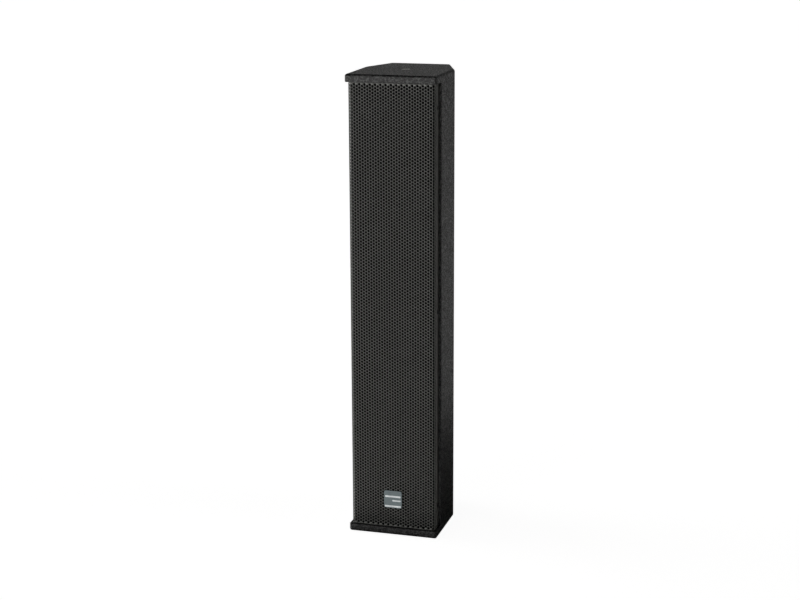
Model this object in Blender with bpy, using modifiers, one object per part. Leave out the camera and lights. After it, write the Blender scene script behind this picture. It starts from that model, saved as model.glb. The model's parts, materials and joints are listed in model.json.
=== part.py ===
"""Passive column loudspeaker: a tall plywood cabinet with four woofers, a horn tweeter and two bass
reflex ports behind a folded perforated grille.

Metres, +Z up. The origin is the middle of the footprint, on the surface the cabinet stands on.
The front faces -Y. Each named object is one separate piece of the real thing.
"""

import math

import bmesh
import bpy
from mathutils import Matrix, Vector

MM = 0.001

# Driving dimensions of the cabinet.
HEIGHT = 890 * MM
WIDTH = 176 * MM
DEPTH = 210 * MM
PLY = 15 * MM
FLANK_DEPTH = 130 * MM  # depth of the straight flanks, before the cabinet tapers to its back
TAPER = math.radians(20)
GAP = 0.3 * MM  # room between pieces that touch on the real thing
EDGE_RADIUS = 4.5 * MM
EDGE_STEPS = 3

FRONT = -DEPTH / 2
BACK = DEPTH / 2
HALF = WIDTH / 2
FLANK_END = FRONT + FLANK_DEPTH
BACK_HALF = HALF - (BACK - FLANK_END) * math.tan(TAPER)
WALL_LOW = PLY + GAP
WALL_HIGH = HEIGHT - PLY - GAP
MIDDLE = HEIGHT / 2

# The side panels start behind the grille's folded returns.
FLANK_FRONT = FRONT + 34 * MM

# Grille: a perforated sheet folded to a shallow U between the top and bottom panels.
GRILLE_FRONT = FRONT + 5 * MM
GRILLE_HALF = HALF - 5 * MM
GRILLE_SHEET = 1.2 * MM
GRILLE_FOLD = 5 * MM
GRILLE_FOLD_STEPS = 5
GRILLE_PLAY = 0.5 * MM
GRILLE_LOW = PLY + GRILLE_PLAY
GRILLE_HIGH = HEIGHT - PLY - GRILLE_PLAY
FOAM_THICKNESS = 4 * MM
FOAM_STRIP = 5 * MM  # width of the foam strips that close the sides, between the grille and the baffle

BADGE_SIDE = 36 * MM
BADGE_HEIGHT = 35.5 * MM
BADGE_THICKNESS = 1.5 * MM
BADGE_CORNER = 4 * MM
BADGE_Z = 71.5 * MM

# Front baffle, glued across the front edges of the side panels.
BAFFLE_HALF = GRILLE_HALF - GRILLE_SHEET - GAP
BAFFLE_BACK = FLANK_FRONT - GAP
BAFFLE_FRONT = BAFFLE_BACK - PLY

# Drivers and ports. Depths below are measured forward from the baffle's front face.
HIDDEN_STEPS = 16  # round pieces inside the cabinet
ROUND_STEPS = 24  # round pieces on show
SMALL_STEPS = 8
WOOFER_FLANGE_R = 68 * MM
WOOFER_FLANGE_T = 4 * MM
WOOFER_CUTOUT_R = 59 * MM
WOOFER_SPACING = 2 * WOOFER_FLANGE_R + 2 * MM
HORN_SIDE = 140 * MM
HORN_FLANGE_T = 3 * MM
HORN_CORNER = 8 * MM
HORN_CUTOUT_R = 63.5 * MM
WOOFER_FIRST = HORN_SIDE / 2 + 2 * MM + WOOFER_FLANGE_R
WOOFER_HEIGHTS = (
    MIDDLE - WOOFER_FIRST - WOOFER_SPACING,
    MIDDLE - WOOFER_FIRST,
    MIDDLE + WOOFER_FIRST,
    MIDDLE + WOOFER_FIRST + WOOFER_SPACING,
)
BASKET_WINDOWS = 4
PORT_TUBE_R = 27 * MM
PORT_BORE_R = 25 * MM
PORT_FLARE_R = 36 * MM
PORT_FLARE_T = 3 * MM
PORT_LENGTH = 42 * MM
PORT_HEIGHTS = (57 * MM, HEIGHT - 57 * MM)

# Fixings on one upright axis, in the middle of the cabinet's depth.
FIXING_Y = (FRONT + BACK) / 2
INSERT_R = 10.5 * MM
INSERT_THREAD_R = 5 * MM
INSERT_RECESS_R = 6.4 * MM
INSERT_RECESS_DEPTH = 3 * MM
INSERT_BARREL_R = 9 * MM
INSERT_FLANGE_T = 2 * MM
INSERT_LENGTH = 18 * MM
POLE_FLANGE_R = 42 * MM
POLE_FLANGE_T = 3 * MM
POLE_BORE_R = 18.25 * MM
POLE_CUP_R = 20.5 * MM
POLE_DEPTH = 75 * MM
POLE_FLOOR = 2.5 * MM

# Rear connector plate, sunk in a pocket of the back panel.
PLATE_Z = 140 * MM
PLATE_WIDTH = 84 * MM
PLATE_HEIGHT = 124 * MM
PLATE_T = 2 * MM
PLATE_LAND = 10 * MM
POCKET_DEPTH = 6 * MM
SOCKET_RISE = 27 * MM
SOCKET_FLANGE = 31 * MM
SOCKET_FLANGE_T = 3 * MM
SOCKET_BODY_R = 13 * MM
SOCKET_WELL_R = 11 * MM
SOCKET_CORE_R = 4.6 * MM
SOCKET_WELL_DEPTH = 15 * MM
SOCKET_LENGTH = 22 * MM

# Grille screws, driven sideways through the returns into the baffle's edges.
SCREW_Y = (BAFFLE_FRONT + BAFFLE_BACK) / 2
SCREW_HEIGHTS = (60 * MM, MIDDLE, HEIGHT - 60 * MM)
SCREW_HEAD_R = 4 * MM
SCREW_HEAD_T = 1.6 * MM
SCREW_SHANK_R = 1.9 * MM
SCREW_DEPTH = 9 * MM

# Crossover on the inside of the back panel.
BOARD_WIDTH = 76 * MM
BOARD_HEIGHT = 130 * MM
BOARD_T = 1.6 * MM
BOARD_Z = 620 * MM
BOARD_BACK = BACK - PLY - GAP
BOARD_FRONT = BOARD_BACK - BOARD_T

PAD_THICKNESS = 18 * MM
PAD_HALF = 38 * MM
PAD_LOW = 330 * MM
PAD_HIGH = 535 * MM

LEAD_R = 1.6 * MM
LEAD_STEP = 20 * MM

for old in list(bpy.data.objects):
    bpy.data.objects.remove(old)

PARTS = bpy.data.collections.new("column_loudspeaker")
CUTTERS = bpy.data.collections.new("cutters")
bpy.context.scene.collection.children.link(PARTS)
bpy.context.scene.collection.children.link(CUTTERS)


def finish_of(name, colour, roughness, metallic=0.0):
    """A Principled material."""
    made = bpy.data.materials.new(name)
    made.use_nodes = True
    shader = made.node_tree.nodes["Principled BSDF"]
    shader.inputs["Base Color"].default_value = (*colour, 1)
    shader.inputs["Roughness"].default_value = roughness
    shader.inputs["Metallic"].default_value = metallic
    return made


CABINET_PAINT = finish_of("cabinet_paint", (0.02, 0.02, 0.021), 0.6)
GRILLE_COAT = finish_of("grille_coat", (0.03, 0.03, 0.028), 0.45)
FOAM = finish_of("foam", (0.01, 0.01, 0.01), 0.95)
BADGE_METAL = finish_of("badge_metal", (0.3, 0.33, 0.34), 0.4, 0.8)
PAINTED_STEEL = finish_of("painted_steel", (0.03, 0.03, 0.03), 0.4)
FERRITE = finish_of("ferrite", (0.06, 0.06, 0.065), 0.55, 0.3)
PAPER = finish_of("cone_paper", (0.04, 0.04, 0.04), 0.8)
RUBBER = finish_of("surround_rubber", (0.02, 0.02, 0.02), 0.6)
CLOTH = finish_of("spider_cloth", (0.45, 0.3, 0.12), 0.9)
PLASTIC = finish_of("black_plastic", (0.025, 0.025, 0.025), 0.5)
TITANIUM = finish_of("titanium", (0.5, 0.5, 0.52), 0.3, 1.0)
ZINC = finish_of("zinc", (0.6, 0.6, 0.58), 0.35, 1.0)
LAMINATE = finish_of("board_laminate", (0.03, 0.12, 0.05), 0.5)
COPPER = finish_of("copper", (0.6, 0.28, 0.12), 0.35, 1.0)
FILM = finish_of("capacitor_film", (0.35, 0.05, 0.04), 0.4)
CERAMIC = finish_of("ceramic", (0.75, 0.72, 0.65), 0.6)
CABLE = finish_of("cable_sheath", (0.05, 0.02, 0.02), 0.5)
WADDING = finish_of("wadding", (0.6, 0.6, 0.58), 0.95)


def place(obj, name, finish, collection=PARTS):
    """Names the object, gives it its material and puts it in its collection only."""
    obj.name = name
    obj.data.name = name
    obj.data.materials.clear()
    if finish:
        obj.data.materials.append(finish)
    for holder in list(obj.users_collection):
        holder.objects.unlink(obj)
    collection.objects.link(obj)
    return obj


def as_mesh(obj):
    """The object as the viewport shows it, made a plain welded mesh with no modifiers."""
    bpy.context.view_layer.update()
    graph = bpy.context.evaluated_depsgraph_get()
    mesh = bpy.data.meshes.new_from_object(obj.evaluated_get(graph))
    welded = bmesh.new()
    welded.from_mesh(mesh)
    bmesh.ops.remove_doubles(welded, verts=welded.verts, dist=0.01 * MM)
    welded.to_mesh(mesh)
    welded.free()
    made = bpy.data.objects.new(obj.name, mesh)
    made.matrix_world = obj.matrix_world
    bpy.context.scene.collection.objects.link(made)
    bpy.data.objects.remove(obj)
    return made


def slab(outline, thickness):
    """A flat anticlockwise outline of (x, y) points, as a plate centred on its own z = 0."""
    mesh = bpy.data.meshes.new("outline")
    mesh.from_pydata([(x, y, 0) for x, y in outline], [], [range(len(outline))])
    obj = bpy.data.objects.new("outline", mesh)
    bpy.context.scene.collection.objects.link(obj)
    solid = obj.modifiers.new("thickness", "SOLIDIFY")
    solid.thickness = thickness
    solid.offset = 0
    return as_mesh(obj)


def upright(outline, low, high):
    """A plan outline raised from height low to height high."""
    obj = slab(outline, high - low)
    obj.location.z = (low + high) / 2
    return obj


def facing(outline, back, front):
    """An outline of (x, z) points seen from the front, from depth back to depth front."""
    obj = slab(outline, back - front)
    obj.rotation_euler.x = math.pi / 2
    obj.location.y = (back + front) / 2
    return obj


def rectangle(width, height, x=0.0, y=0.0):
    """Corner points of a rectangle about (x, y)."""
    return [
        (x - width / 2, y - height / 2),
        (x + width / 2, y - height / 2),
        (x + width / 2, y + height / 2),
        (x - width / 2, y + height / 2),
    ]


def rounded(width, height, radius, steps, x=0.0, y=0.0):
    """A rectangle about (x, y) with each corner an arc of that many steps."""
    points = []
    for sx, sy, start in ((1, 1, 0), (-1, 1, 90), (-1, -1, 180), (1, -1, 270)):
        cx = x + sx * (width / 2 - radius)
        cy = y + sy * (height / 2 - radius)
        for i in range(steps + 1):
            a = math.radians(start + 90 * i / steps)
            points.append((cx + radius * math.cos(a), cy + radius * math.sin(a)))
    return points


def turned(profile, steps=HIDDEN_STEPS, closed=True):
    """A profile of (radius, height) points in millimetres, turned about its own z axis.

    A closed profile is a ring. An open one starts and ends on the axis. Both run down the outer side.
    """
    mesh = bpy.data.meshes.new("profile")
    edges = [(i, i + 1) for i in range(len(profile) - 1)]
    if closed:
        edges.append((len(profile) - 1, 0))
    mesh.from_pydata([(r * MM, 0, h * MM) for r, h in profile], edges, [])
    obj = bpy.data.objects.new("profile", mesh)
    bpy.context.scene.collection.objects.link(obj)
    screw = obj.modifiers.new("turn", "SCREW")
    screw.steps = steps
    screw.render_steps = steps
    screw.use_merge_vertices = True
    screw.merge_threshold = 0.01 * MM
    made = as_mesh(obj)
    made.data.shade_smooth()
    made.data.set_sharp_from_angle(angle=math.radians(35))
    return made


def cylinder(radius, low, high, steps=HIDDEN_STEPS):
    """A solid cylinder about its own z axis."""
    mesh = bpy.data.meshes.new("cylinder")
    built = bmesh.new()
    bmesh.ops.create_cone(
        built,
        cap_ends=True,
        segments=steps,
        radius1=radius,
        radius2=radius,
        depth=high - low,
        matrix=Matrix.Translation((0, 0, (low + high) / 2)),
    )
    built.to_mesh(mesh)
    built.free()
    obj = bpy.data.objects.new("cylinder", mesh)
    bpy.context.scene.collection.objects.link(obj)
    return obj


def block(low, high):
    """A box between two opposite corners."""
    mesh = bpy.data.meshes.new("block")
    built = bmesh.new()
    size = Vector(high) - Vector(low)
    centre = (Vector(high) + Vector(low)) / 2
    bmesh.ops.create_cube(
        built, size=1, matrix=Matrix.Translation(centre) @ Matrix.Diagonal((*size, 1))
    )
    built.to_mesh(mesh)
    built.free()
    obj = bpy.data.objects.new("block", mesh)
    bpy.context.scene.collection.objects.link(obj)
    return obj


def on_baffle(obj, z, x=0.0):
    """Turns the object's own z axis to point forward, from the baffle's front face at height z."""
    obj.rotation_euler = (math.pi / 2, 0, 0)
    obj.location = (x, BAFFLE_FRONT, z)
    return obj


def change(target, tool, operation, name):
    """Adds a Boolean with a hidden tool."""
    place(tool, name, None, CUTTERS)
    tool.hide_render = True
    tool.display_type = "WIRE"
    step = target.modifiers.new(name, "BOOLEAN")
    step.operation = operation
    step.object = tool
    return target


def cut(target, tool, name):
    return change(target, tool, "DIFFERENCE", name)


def join(target, tool, name):
    return change(target, tool, "UNION", name)


def round_edges(obj, chosen):
    """Bevels the edges whose middle point, in the object's own space, is one that chosen() picks."""
    weights = obj.data.attributes.new("bevel_weight_edge", "FLOAT", "EDGE")
    points = obj.data.vertices
    for edge in obj.data.edges:
        a, b = (points[i].co for i in edge.vertices)
        weights.data[edge.index].value = 1.0 if chosen(a, b) else 0.0
    bevel = obj.modifiers.new("rounded_edges", "BEVEL")
    bevel.limit_method = "WEIGHT"
    bevel.width = EDGE_RADIUS
    bevel.segments = EDGE_STEPS
    return obj


def plan_outline():
    """The footprint: straight flanks, then a taper to a narrower back."""
    right = [(HALF, FRONT), (HALF, FLANK_END), (BACK_HALF, BACK)]
    return right + [(-x, y) for x, y in reversed(right)]


def end_panel(name, low, high, outer_sign):
    """The top or bottom panel. Its outer face's edges and its two front corners are rounded."""
    obj = upright(plan_outline(), low, high)
    outer = outer_sign * (high - low) / 2

    def on_show(a, b):
        on_outer_face = abs(a.z - outer) < MM and abs(b.z - outer) < MM
        front_corner = abs(a.z - b.z) > MM and a.y < FRONT + MM
        return on_outer_face or front_corner

    round_edges(obj, on_show)
    return place(obj, name, CABINET_PAINT)


def wall_corners():
    """(outer, inner) plan corners from the right flank's front, round the back, to the left flank's."""
    outer = [Vector((HALF, FLANK_FRONT)), Vector((HALF, FLANK_END)), Vector((BACK_HALF, BACK))]
    outer += [Vector((-p.x, p.y)) for p in reversed(outer)]
    inner = []
    for i, p in enumerate(outer):
        along_in = (p - outer[i - 1]).normalized() if i else Vector((0, 1))
        along_out = (outer[i + 1] - p).normalized() if i < len(outer) - 1 else Vector((0, -1))
        inward_in = Vector((-along_in.y, along_in.x))
        inward_out = Vector((-along_out.y, along_out.x))
        mitre = (inward_in + inward_out).normalized()
        inner.append(p + mitre * PLY / mitre.dot(inward_in))
    return outer, inner


def walls():
    """Side, rear corner and back panels, mitred where they meet."""
    outer, inner = wall_corners()
    names = (
        "right_side_panel",
        "right_rear_panel",
        "back_panel",
        "left_rear_panel",
        "left_side_panel",
    )
    made = {}
    for i, name in enumerate(names):
        nudge = (outer[i + 1] - outer[i]).normalized() * GAP / 2
        start = nudge if i else Vector((0, 0))
        end = nudge if i < len(names) - 1 else Vector((0, 0))
        corners = [outer[i] + start, outer[i + 1] - end, inner[i + 1] - end, inner[i] + start]
        made[name] = place(upright(corners, WALL_LOW, WALL_HIGH), name, CABINET_PAINT)
    return made


def end_panels():
    """Top panel with its rigging insert's hole, bottom panel with the pole socket's."""
    top = end_panel("top_panel", HEIGHT - PLY, HEIGHT, 1)
    step = HEIGHT - INSERT_FLANGE_T - GAP
    for name, radius, low in (
        ("insert_flange_seat", INSERT_R + GAP, step),
        ("insert_barrel_hole", INSERT_BARREL_R + GAP, HEIGHT - 2 * PLY),
    ):
        tool = cylinder(radius, low, HEIGHT + PLY, ROUND_STEPS)
        tool.location.y = FIXING_Y
        cut(top, tool, name)
    bottom = end_panel("bottom_panel", 0, PLY, -1)
    for name, radius, high in (
        ("pole_flange_seat", POLE_FLANGE_R + GAP, POLE_FLANGE_T + GAP),
        ("pole_cup_hole", POLE_CUP_R + GAP, 2 * PLY),
    ):
        tool = cylinder(radius, -PLY, high, ROUND_STEPS)
        tool.location.y = FIXING_Y
        cut(bottom, tool, name)


def baffle():
    """Front baffle with a rebated cut-out for each driver and port, and the screws' pilot holes."""
    width = 2 * BAFFLE_HALF
    outline = rectangle(width, WALL_HIGH - WALL_LOW, 0, (WALL_LOW + WALL_HIGH) / 2)
    board = place(facing(outline, BAFFLE_BACK, BAFFLE_FRONT), "front_baffle", CABINET_PAINT)
    through = 3 * PLY
    for i, z in enumerate(WOOFER_HEIGHTS, 1):
        hole = on_baffle(cylinder(WOOFER_CUTOUT_R, -through, through), z)
        rebate = on_baffle(cylinder(WOOFER_FLANGE_R + GAP, -WOOFER_FLANGE_T - GAP, PLY), z)
        cut(board, hole, f"woofer_{i}_cutout")
        cut(board, rebate, f"woofer_{i}_rebate")
    for i, z in enumerate(PORT_HEIGHTS, 1):
        hole = on_baffle(cylinder(PORT_TUBE_R + GAP, -through, through), z)
        rebate = on_baffle(cylinder(PORT_FLARE_R + GAP, -PORT_FLARE_T - GAP, PLY), z)
        cut(board, hole, f"port_{i}_cutout")
        cut(board, rebate, f"port_{i}_rebate")
    side = HORN_SIDE + 2 * GAP
    depth = HORN_FLANGE_T + GAP
    pocket = facing(
        rounded(side, side, HORN_CORNER, 2, 0, MIDDLE), BAFFLE_FRONT + depth, BAFFLE_FRONT - PLY
    )
    cut(board, on_baffle(cylinder(HORN_CUTOUT_R, -through, through), MIDDLE), "horn_cutout")
    cut(board, pocket, "horn_rebate")
    for side_sign in (1, -1):
        for z in SCREW_HEIGHTS:
            pilot = cylinder(SCREW_SHANK_R + GAP, -SCREW_DEPTH - GAP, PLY, SMALL_STEPS)
            sideways(pilot, side_sign, BAFFLE_HALF, z)
            cut(board, pilot, f"pilot_{side_sign}_{z:.3f}")


def sideways(obj, side_sign, x, z):
    """Points the object's own z axis outward from the cabinet's side, at a grille screw's place."""
    obj.rotation_euler = (0, side_sign * math.pi / 2, 0)
    obj.location = (side_sign * x, SCREW_Y, z)
    return obj


def fold_arc(radius):
    """Plan points of the grille's right fold, from its front to its side."""
    cx = GRILLE_HALF - GRILLE_FOLD
    cy = GRILLE_FRONT + GRILLE_FOLD
    angles = [math.pi / 2 * i / GRILLE_FOLD_STEPS for i in range(GRILLE_FOLD_STEPS + 1)]
    return [(cx + radius * math.sin(a), cy - radius * math.cos(a)) for a in angles]


def grille():
    """The folded sheet, the foam behind it and the badge on it."""
    end = FLANK_FRONT - MM
    inner_radius = GRILLE_FOLD - GRILLE_SHEET
    outer = [*fold_arc(GRILLE_FOLD), (GRILLE_HALF, end)]
    inner = [*fold_arc(inner_radius), (GRILLE_HALF - GRILLE_SHEET, end)]
    left_outer = [(-x, y) for x, y in reversed(outer)]
    left_inner = [(-x, y) for x, y in inner]
    outline = outer + inner[::-1] + left_inner + left_outer
    sheet = place(upright(outline, GRILLE_LOW, GRILLE_HIGH), "grille", GRILLE_COAT)
    for side_sign in (1, -1):
        for z in SCREW_HEIGHTS:
            hole = cylinder(SCREW_SHANK_R + GAP, -MM, 4 * MM, SMALL_STEPS)
            sideways(hole, side_sign, GRILLE_HALF - GRILLE_SHEET, z)
            cut(sheet, hole, f"grille_hole_{side_sign}_{z:.3f}")

    foam_front = GRILLE_FRONT + GRILLE_SHEET + GAP
    foam_back = foam_front + FOAM_THICKNESS
    strip_back = BAFFLE_FRONT - GAP
    half = GRILLE_HALF - GRILLE_FOLD
    strip = half - FOAM_STRIP
    right = [(half, foam_front), (half, strip_back), (strip, strip_back), (strip, foam_back)]
    left = [(-x, y) for x, y in reversed(right)]
    place(upright(right + left, GRILLE_LOW, GRILLE_HIGH), "grille_foam", FOAM)

    front = GRILLE_FRONT - GAP
    outline = rounded(BADGE_SIDE, BADGE_HEIGHT, BADGE_CORNER, 3, 0, BADGE_Z)
    place(facing(outline, front, front - BADGE_THICKNESS), "badge", BADGE_METAL)


def grille_screws():
    """Domed screws, three in each return."""
    depth, head = SCREW_DEPTH / MM, SCREW_HEAD_T / MM
    head_r, shank_r = SCREW_HEAD_R / MM, SCREW_SHANK_R / MM
    seat = (GRILLE_HALF - BAFFLE_HALF + GAP) / MM
    profile = [
        (0, seat + head),
        (0.6 * head_r, seat + 0.85 * head),
        (head_r, seat + 0.3 * head),
        (head_r, seat),
        (shank_r, seat),
        (shank_r, -depth + shank_r),
        (0, -depth),
    ]
    shape = turned(profile, SMALL_STEPS, closed=False)
    for side_sign, side in ((1, "right"), (-1, "left")):
        for i, z in enumerate(SCREW_HEIGHTS, 1):
            obj = bpy.data.objects.new("screw", shape.data)
            place(obj, f"grille_screw_{side}_{i}", PAINTED_STEEL)
            sideways(obj, side_sign, BAFFLE_HALF, z)
    bpy.data.objects.remove(shape)


def woofer_basket():
    """Pressed steel frame: flange, tapering wall with windows, and the motor's seat."""
    outer = [(68, 0), (68, -4), (58, -4), (57.5, -12), (41.5, -42), (19, -42)]
    inner = [(19, -40), (39, -40), (55.3, -11.5), (55.3, -2), (62, -2), (62, 0)]
    basket = turned(outer + inner)
    for i in range(BASKET_WINDOWS):
        window = block((36 * MM, -13 * MM, -30 * MM), (66 * MM, 13 * MM, -14 * MM))
        window.rotation_euler.z = 2 * math.pi * (i + 0.5) / BASKET_WINDOWS
        cut(basket, window, f"window_{i}")
    return as_mesh(basket)


def woofer_motor():
    """Plates, ferrite ring and pole, around the voice coil's gap."""
    pole = [(0, -42.3), (12, -42.3), (12, -60), (15.4, -60), (15.4, -42.3)]
    plates = [(37, -42.3), (42, -47), (42, -67), (37, -72), (0, -72)]
    return turned(pole + plates, closed=False)


def woofer_cone():
    """Cone with its dust cap and its voice coil former, which move as one."""
    front = [(0, -19), (9, -20.4), (17, -26.5), (52, -4), (52, -5.2)]
    back = [(14.4, -29.4), (14.4, -52), (13.4, -52), (13.4, -26)]
    return turned([*front, *back, (0, -20.6)], closed=False)


def woofer_surround():
    """Half roll from the cone's rim to the flange."""
    under = [(61.6, -0.7), (61.6, -1.7), (56.4, -1.7), (54, 1.6), (52, -3.4)]
    top = [(50, -4.9), (50, -3.6), (51.6, 1.2), (54, 2.8), (57, -0.7)]
    return turned(under + top)


def woofer_spider():
    """Corrugated disc that centres the voice coil former."""
    waves = [(14.9, -36.2), (22, -34.9), (31, -37.5), (39.8, -36.2)]
    below = [(r, h - 0.8) for r, h in reversed(waves)]
    return turned([waves[-1], *below, *waves[:-1]])


def woofers():
    """Four equal woofers, built once and placed at each height."""
    shapes = (
        ("basket", woofer_basket(), PAINTED_STEEL),
        ("motor", woofer_motor(), FERRITE),
        ("cone", woofer_cone(), PAPER),
        ("surround", woofer_surround(), RUBBER),
        ("spider", woofer_spider(), CLOTH),
    )
    for i, z in enumerate(WOOFER_HEIGHTS, 1):
        for piece, shape, finish in shapes:
            obj = bpy.data.objects.new("woofer", shape.data)
            on_baffle(place(obj, f"woofer_{i}_{piece}", finish), z)
    for _, shape, _ in shapes:
        bpy.data.objects.remove(shape)


def horn():
    """Round waveguide with a square flange. The flare follows a smooth power curve to its throat."""
    steps = 5
    mouth_r, throat_r, length, wall = 58.0, 12.7, 52.0, 2.5
    flare = []
    for i in range(steps + 1):
        t = i / steps
        flare.append((throat_r + (mouth_r - throat_r) * (1 - t) ** 1.7, -length * t))
    skin = [(r + wall, h) for r, h in flare[1:-1]]
    mounting_face = [(26, -length + 4), (26, -length), (0, -length)]
    bell = turned([(0, -1), (mouth_r + wall, -1), *skin, *mounting_face], closed=False)
    outline = rounded(HORN_SIDE, HORN_SIDE, HORN_CORNER, 2)
    flange = slab(outline, HORN_FLANGE_T)
    flange.location.z = -HORN_FLANGE_T / 2
    flange = as_mesh(flange)
    tool = [(0, 2), (mouth_r, 2), *flare, (throat_r, -length - 2), (0, -length - 2)]
    for obj in (flange, bell):
        on_baffle(obj, MIDDLE)
    flange.location.y += HORN_FLANGE_T / 2
    join(flange, bell, "horn_bell")
    cut(flange, on_baffle(turned(tool, closed=False), MIDDLE), "horn_flare")
    place(flange, "horn", PLASTIC)


def compression_driver():
    """Motor, moving diaphragm and rear cover behind the horn's throat."""
    motor = [(40, -52.3), (40, -80), (25.2, -80), (25.2, -72), (21.6, -72), (21.6, -79)]
    motor = turned([*motor, (12.7, -77), (12.7, -52.3)])
    on_baffle(place(motor, "tweeter_motor", FERRITE), MIDDLE)
    inside = [(0, -86.4), (12, -84.6), (22.4, -80.7), (22.4, -74), (23.6, -74), (23.6, -80.8)]
    outside = [(33, -80.8), (33, -81.5), (23, -81.5), (12, -85.4), (0, -87.2)]
    dome = turned(inside + outside, closed=False)
    on_baffle(place(dome, "tweeter_diaphragm", TITANIUM), MIDDLE)
    cover = [(0, -94), (37, -94), (37, -80.3), (40, -80.3), (40, -96), (38, -98), (0, -98)]
    cover = turned(cover, closed=False)
    on_baffle(place(cover, "tweeter_rear_cover", PLASTIC), MIDDLE)


def ports():
    """Two short flared reflex ports."""
    tube, bore, flare = PORT_TUBE_R / MM, PORT_BORE_R / MM, PORT_FLARE_R / MM
    thick, length = PORT_FLARE_T / MM, PORT_LENGTH / MM
    outer = [(flare, 0), (flare, -thick), (tube, -thick), (tube, -length), (bore, -length)]
    shape = turned([*outer, (bore, -8), (bore + 1.5, -3.5), (bore + 6, 0)])
    for name, z in zip(("lower_port", "upper_port"), PORT_HEIGHTS):
        obj = bpy.data.objects.new("port", shape.data)
        on_baffle(place(obj, name, PLASTIC), z)
    bpy.data.objects.remove(shape)


def fixings():
    """Threaded rigging insert in the top, pole socket in the bottom."""
    flange, barrel, thread = INSERT_R / MM, INSERT_BARREL_R / MM, INSERT_THREAD_R / MM
    thick, length = INSERT_FLANGE_T / MM, INSERT_LENGTH / MM
    recess, step = INSERT_RECESS_R / MM, INSERT_RECESS_DEPTH / MM
    outer = [(flange, 0), (flange, -thick), (barrel, -thick), (barrel, -length)]
    inner = [(thread, -length), (thread, -step), (recess, -step), (recess, -0.6), (recess + 0.6, 0)]
    insert = turned(outer + inner, ROUND_STEPS)
    insert.location = (0, FIXING_Y, HEIGHT)
    place(insert, "top_rigging_insert", ZINC)

    flange, cup, bore = POLE_FLANGE_R / MM, POLE_CUP_R / MM, POLE_BORE_R / MM
    thick, depth, floor = POLE_FLANGE_T / MM, POLE_DEPTH / MM, POLE_FLOOR / MM
    outside = [(0, depth + floor), (cup, depth + floor), (cup, thick), (flange, thick)]
    inside = [(flange, 0), (bore + 2, 0), (bore, 3), (bore, depth), (0, depth)]
    socket = turned(outside + inside, ROUND_STEPS, closed=False)
    socket.location = (0, FIXING_Y, 0)
    place(socket, "pole_socket", PAINTED_STEEL)


def connectors(back_panel):
    """Connector plate in its pocket, with two round speaker sockets."""
    pocket_floor = BACK - POCKET_DEPTH
    outer = rounded(PLATE_WIDTH + 2 * GAP, PLATE_HEIGHT + 2 * GAP, 5 * MM, 2, 0, PLATE_Z)
    opening = rectangle(PLATE_WIDTH - 2 * PLATE_LAND, PLATE_HEIGHT - 2 * PLATE_LAND, 0, PLATE_Z)
    cut(back_panel, facing(outer, BACK + PLY, pocket_floor), "plate_pocket")
    cut(back_panel, facing(opening, BACK + PLY, BACK - 2 * PLY), "plate_opening")

    plate_front = pocket_floor + GAP
    plate_back = plate_front + PLATE_T
    outline = rounded(PLATE_WIDTH, PLATE_HEIGHT, 5 * MM, 2, 0, PLATE_Z)
    plate = facing(outline, plate_back, plate_front)
    place(plate, "connector_plate", PAINTED_STEEL)

    seat = plate_back + GAP
    well, core, body = SOCKET_WELL_R, SOCKET_CORE_R, SOCKET_BODY_R
    for i, z in enumerate((PLATE_Z + SOCKET_RISE, PLATE_Z - SOCKET_RISE), 1):
        hole = backward(cylinder(body + GAP, -PLY, PLY), seat, z)
        cut(plate, hole, f"socket_{i}_hole")
        flange = slab(rounded(SOCKET_FLANGE, SOCKET_FLANGE, 5 * MM, 2), SOCKET_FLANGE_T)
        flange.location.z = SOCKET_FLANGE_T / 2
        flange = as_mesh(flange)
        backward(flange, seat, z)
        flange.location.y += SOCKET_FLANGE_T / 2
        join(flange, backward(cylinder(body, -SOCKET_LENGTH, MM), seat, z), f"socket_{i}_body")
        floor = SOCKET_FLANGE_T - SOCKET_WELL_DEPTH
        ring = [(well / MM, 9), (well / MM, floor / MM), (core / MM, floor / MM), (core / MM, 9)]
        cut(flange, backward(turned(ring), seat, z), f"socket_{i}_well")
        cut(
            flange,
            backward(cylinder(core + MM, 0, PLY), seat, z),
            f"socket_{i}_core_top",
        )
        place(flange, f"speaker_socket_{i}", PLASTIC)


def backward(obj, y, z):
    """Turns the object's own z axis to point out of the cabinet's back, from depth y."""
    obj.rotation_euler = (-math.pi / 2, 0, 0)
    obj.location = (0, y, z)
    return obj


def crossover():
    """Filter board on the back panel, with its coils, capacitors and resistor."""
    outline = rectangle(BOARD_WIDTH, BOARD_HEIGHT, 0, BOARD_Z)
    place(facing(outline, BOARD_BACK, BOARD_FRONT), "crossover_board", LAMINATE)
    seat = BOARD_FRONT - GAP
    for name, radius, height, x, z in (
        ("low_pass_coil", 19, 20, -16 * MM, 36 * MM),
        ("high_pass_coil", 14, 14, 20 * MM, 44 * MM),
    ):
        hub = radius * 0.42
        rim = [(radius, height), (radius, 0), (hub, 0), (hub, height)]
        coil = turned(rim)
        coil.rotation_euler.x = math.pi / 2
        coil.location = (x, seat, BOARD_Z + z)
        place(coil, name, COPPER)
    for name, radius, length, x, z in (
        ("low_pass_capacitor", 9 * MM, 44 * MM, -22 * MM, -30 * MM),
        ("high_pass_capacitor", 7 * MM, 34 * MM, 2 * MM, -34 * MM),
    ):
        can = cylinder(radius, -length / 2, length / 2, SMALL_STEPS)
        can.location = (x, seat - radius, BOARD_Z + z)
        place(can, name, FILM)
    low = (18 * MM, seat - 9 * MM, BOARD_Z - 55 * MM)
    high = (28 * MM, seat, BOARD_Z - 7 * MM)
    place(block(low, high), "tweeter_resistor", CERAMIC)


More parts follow.
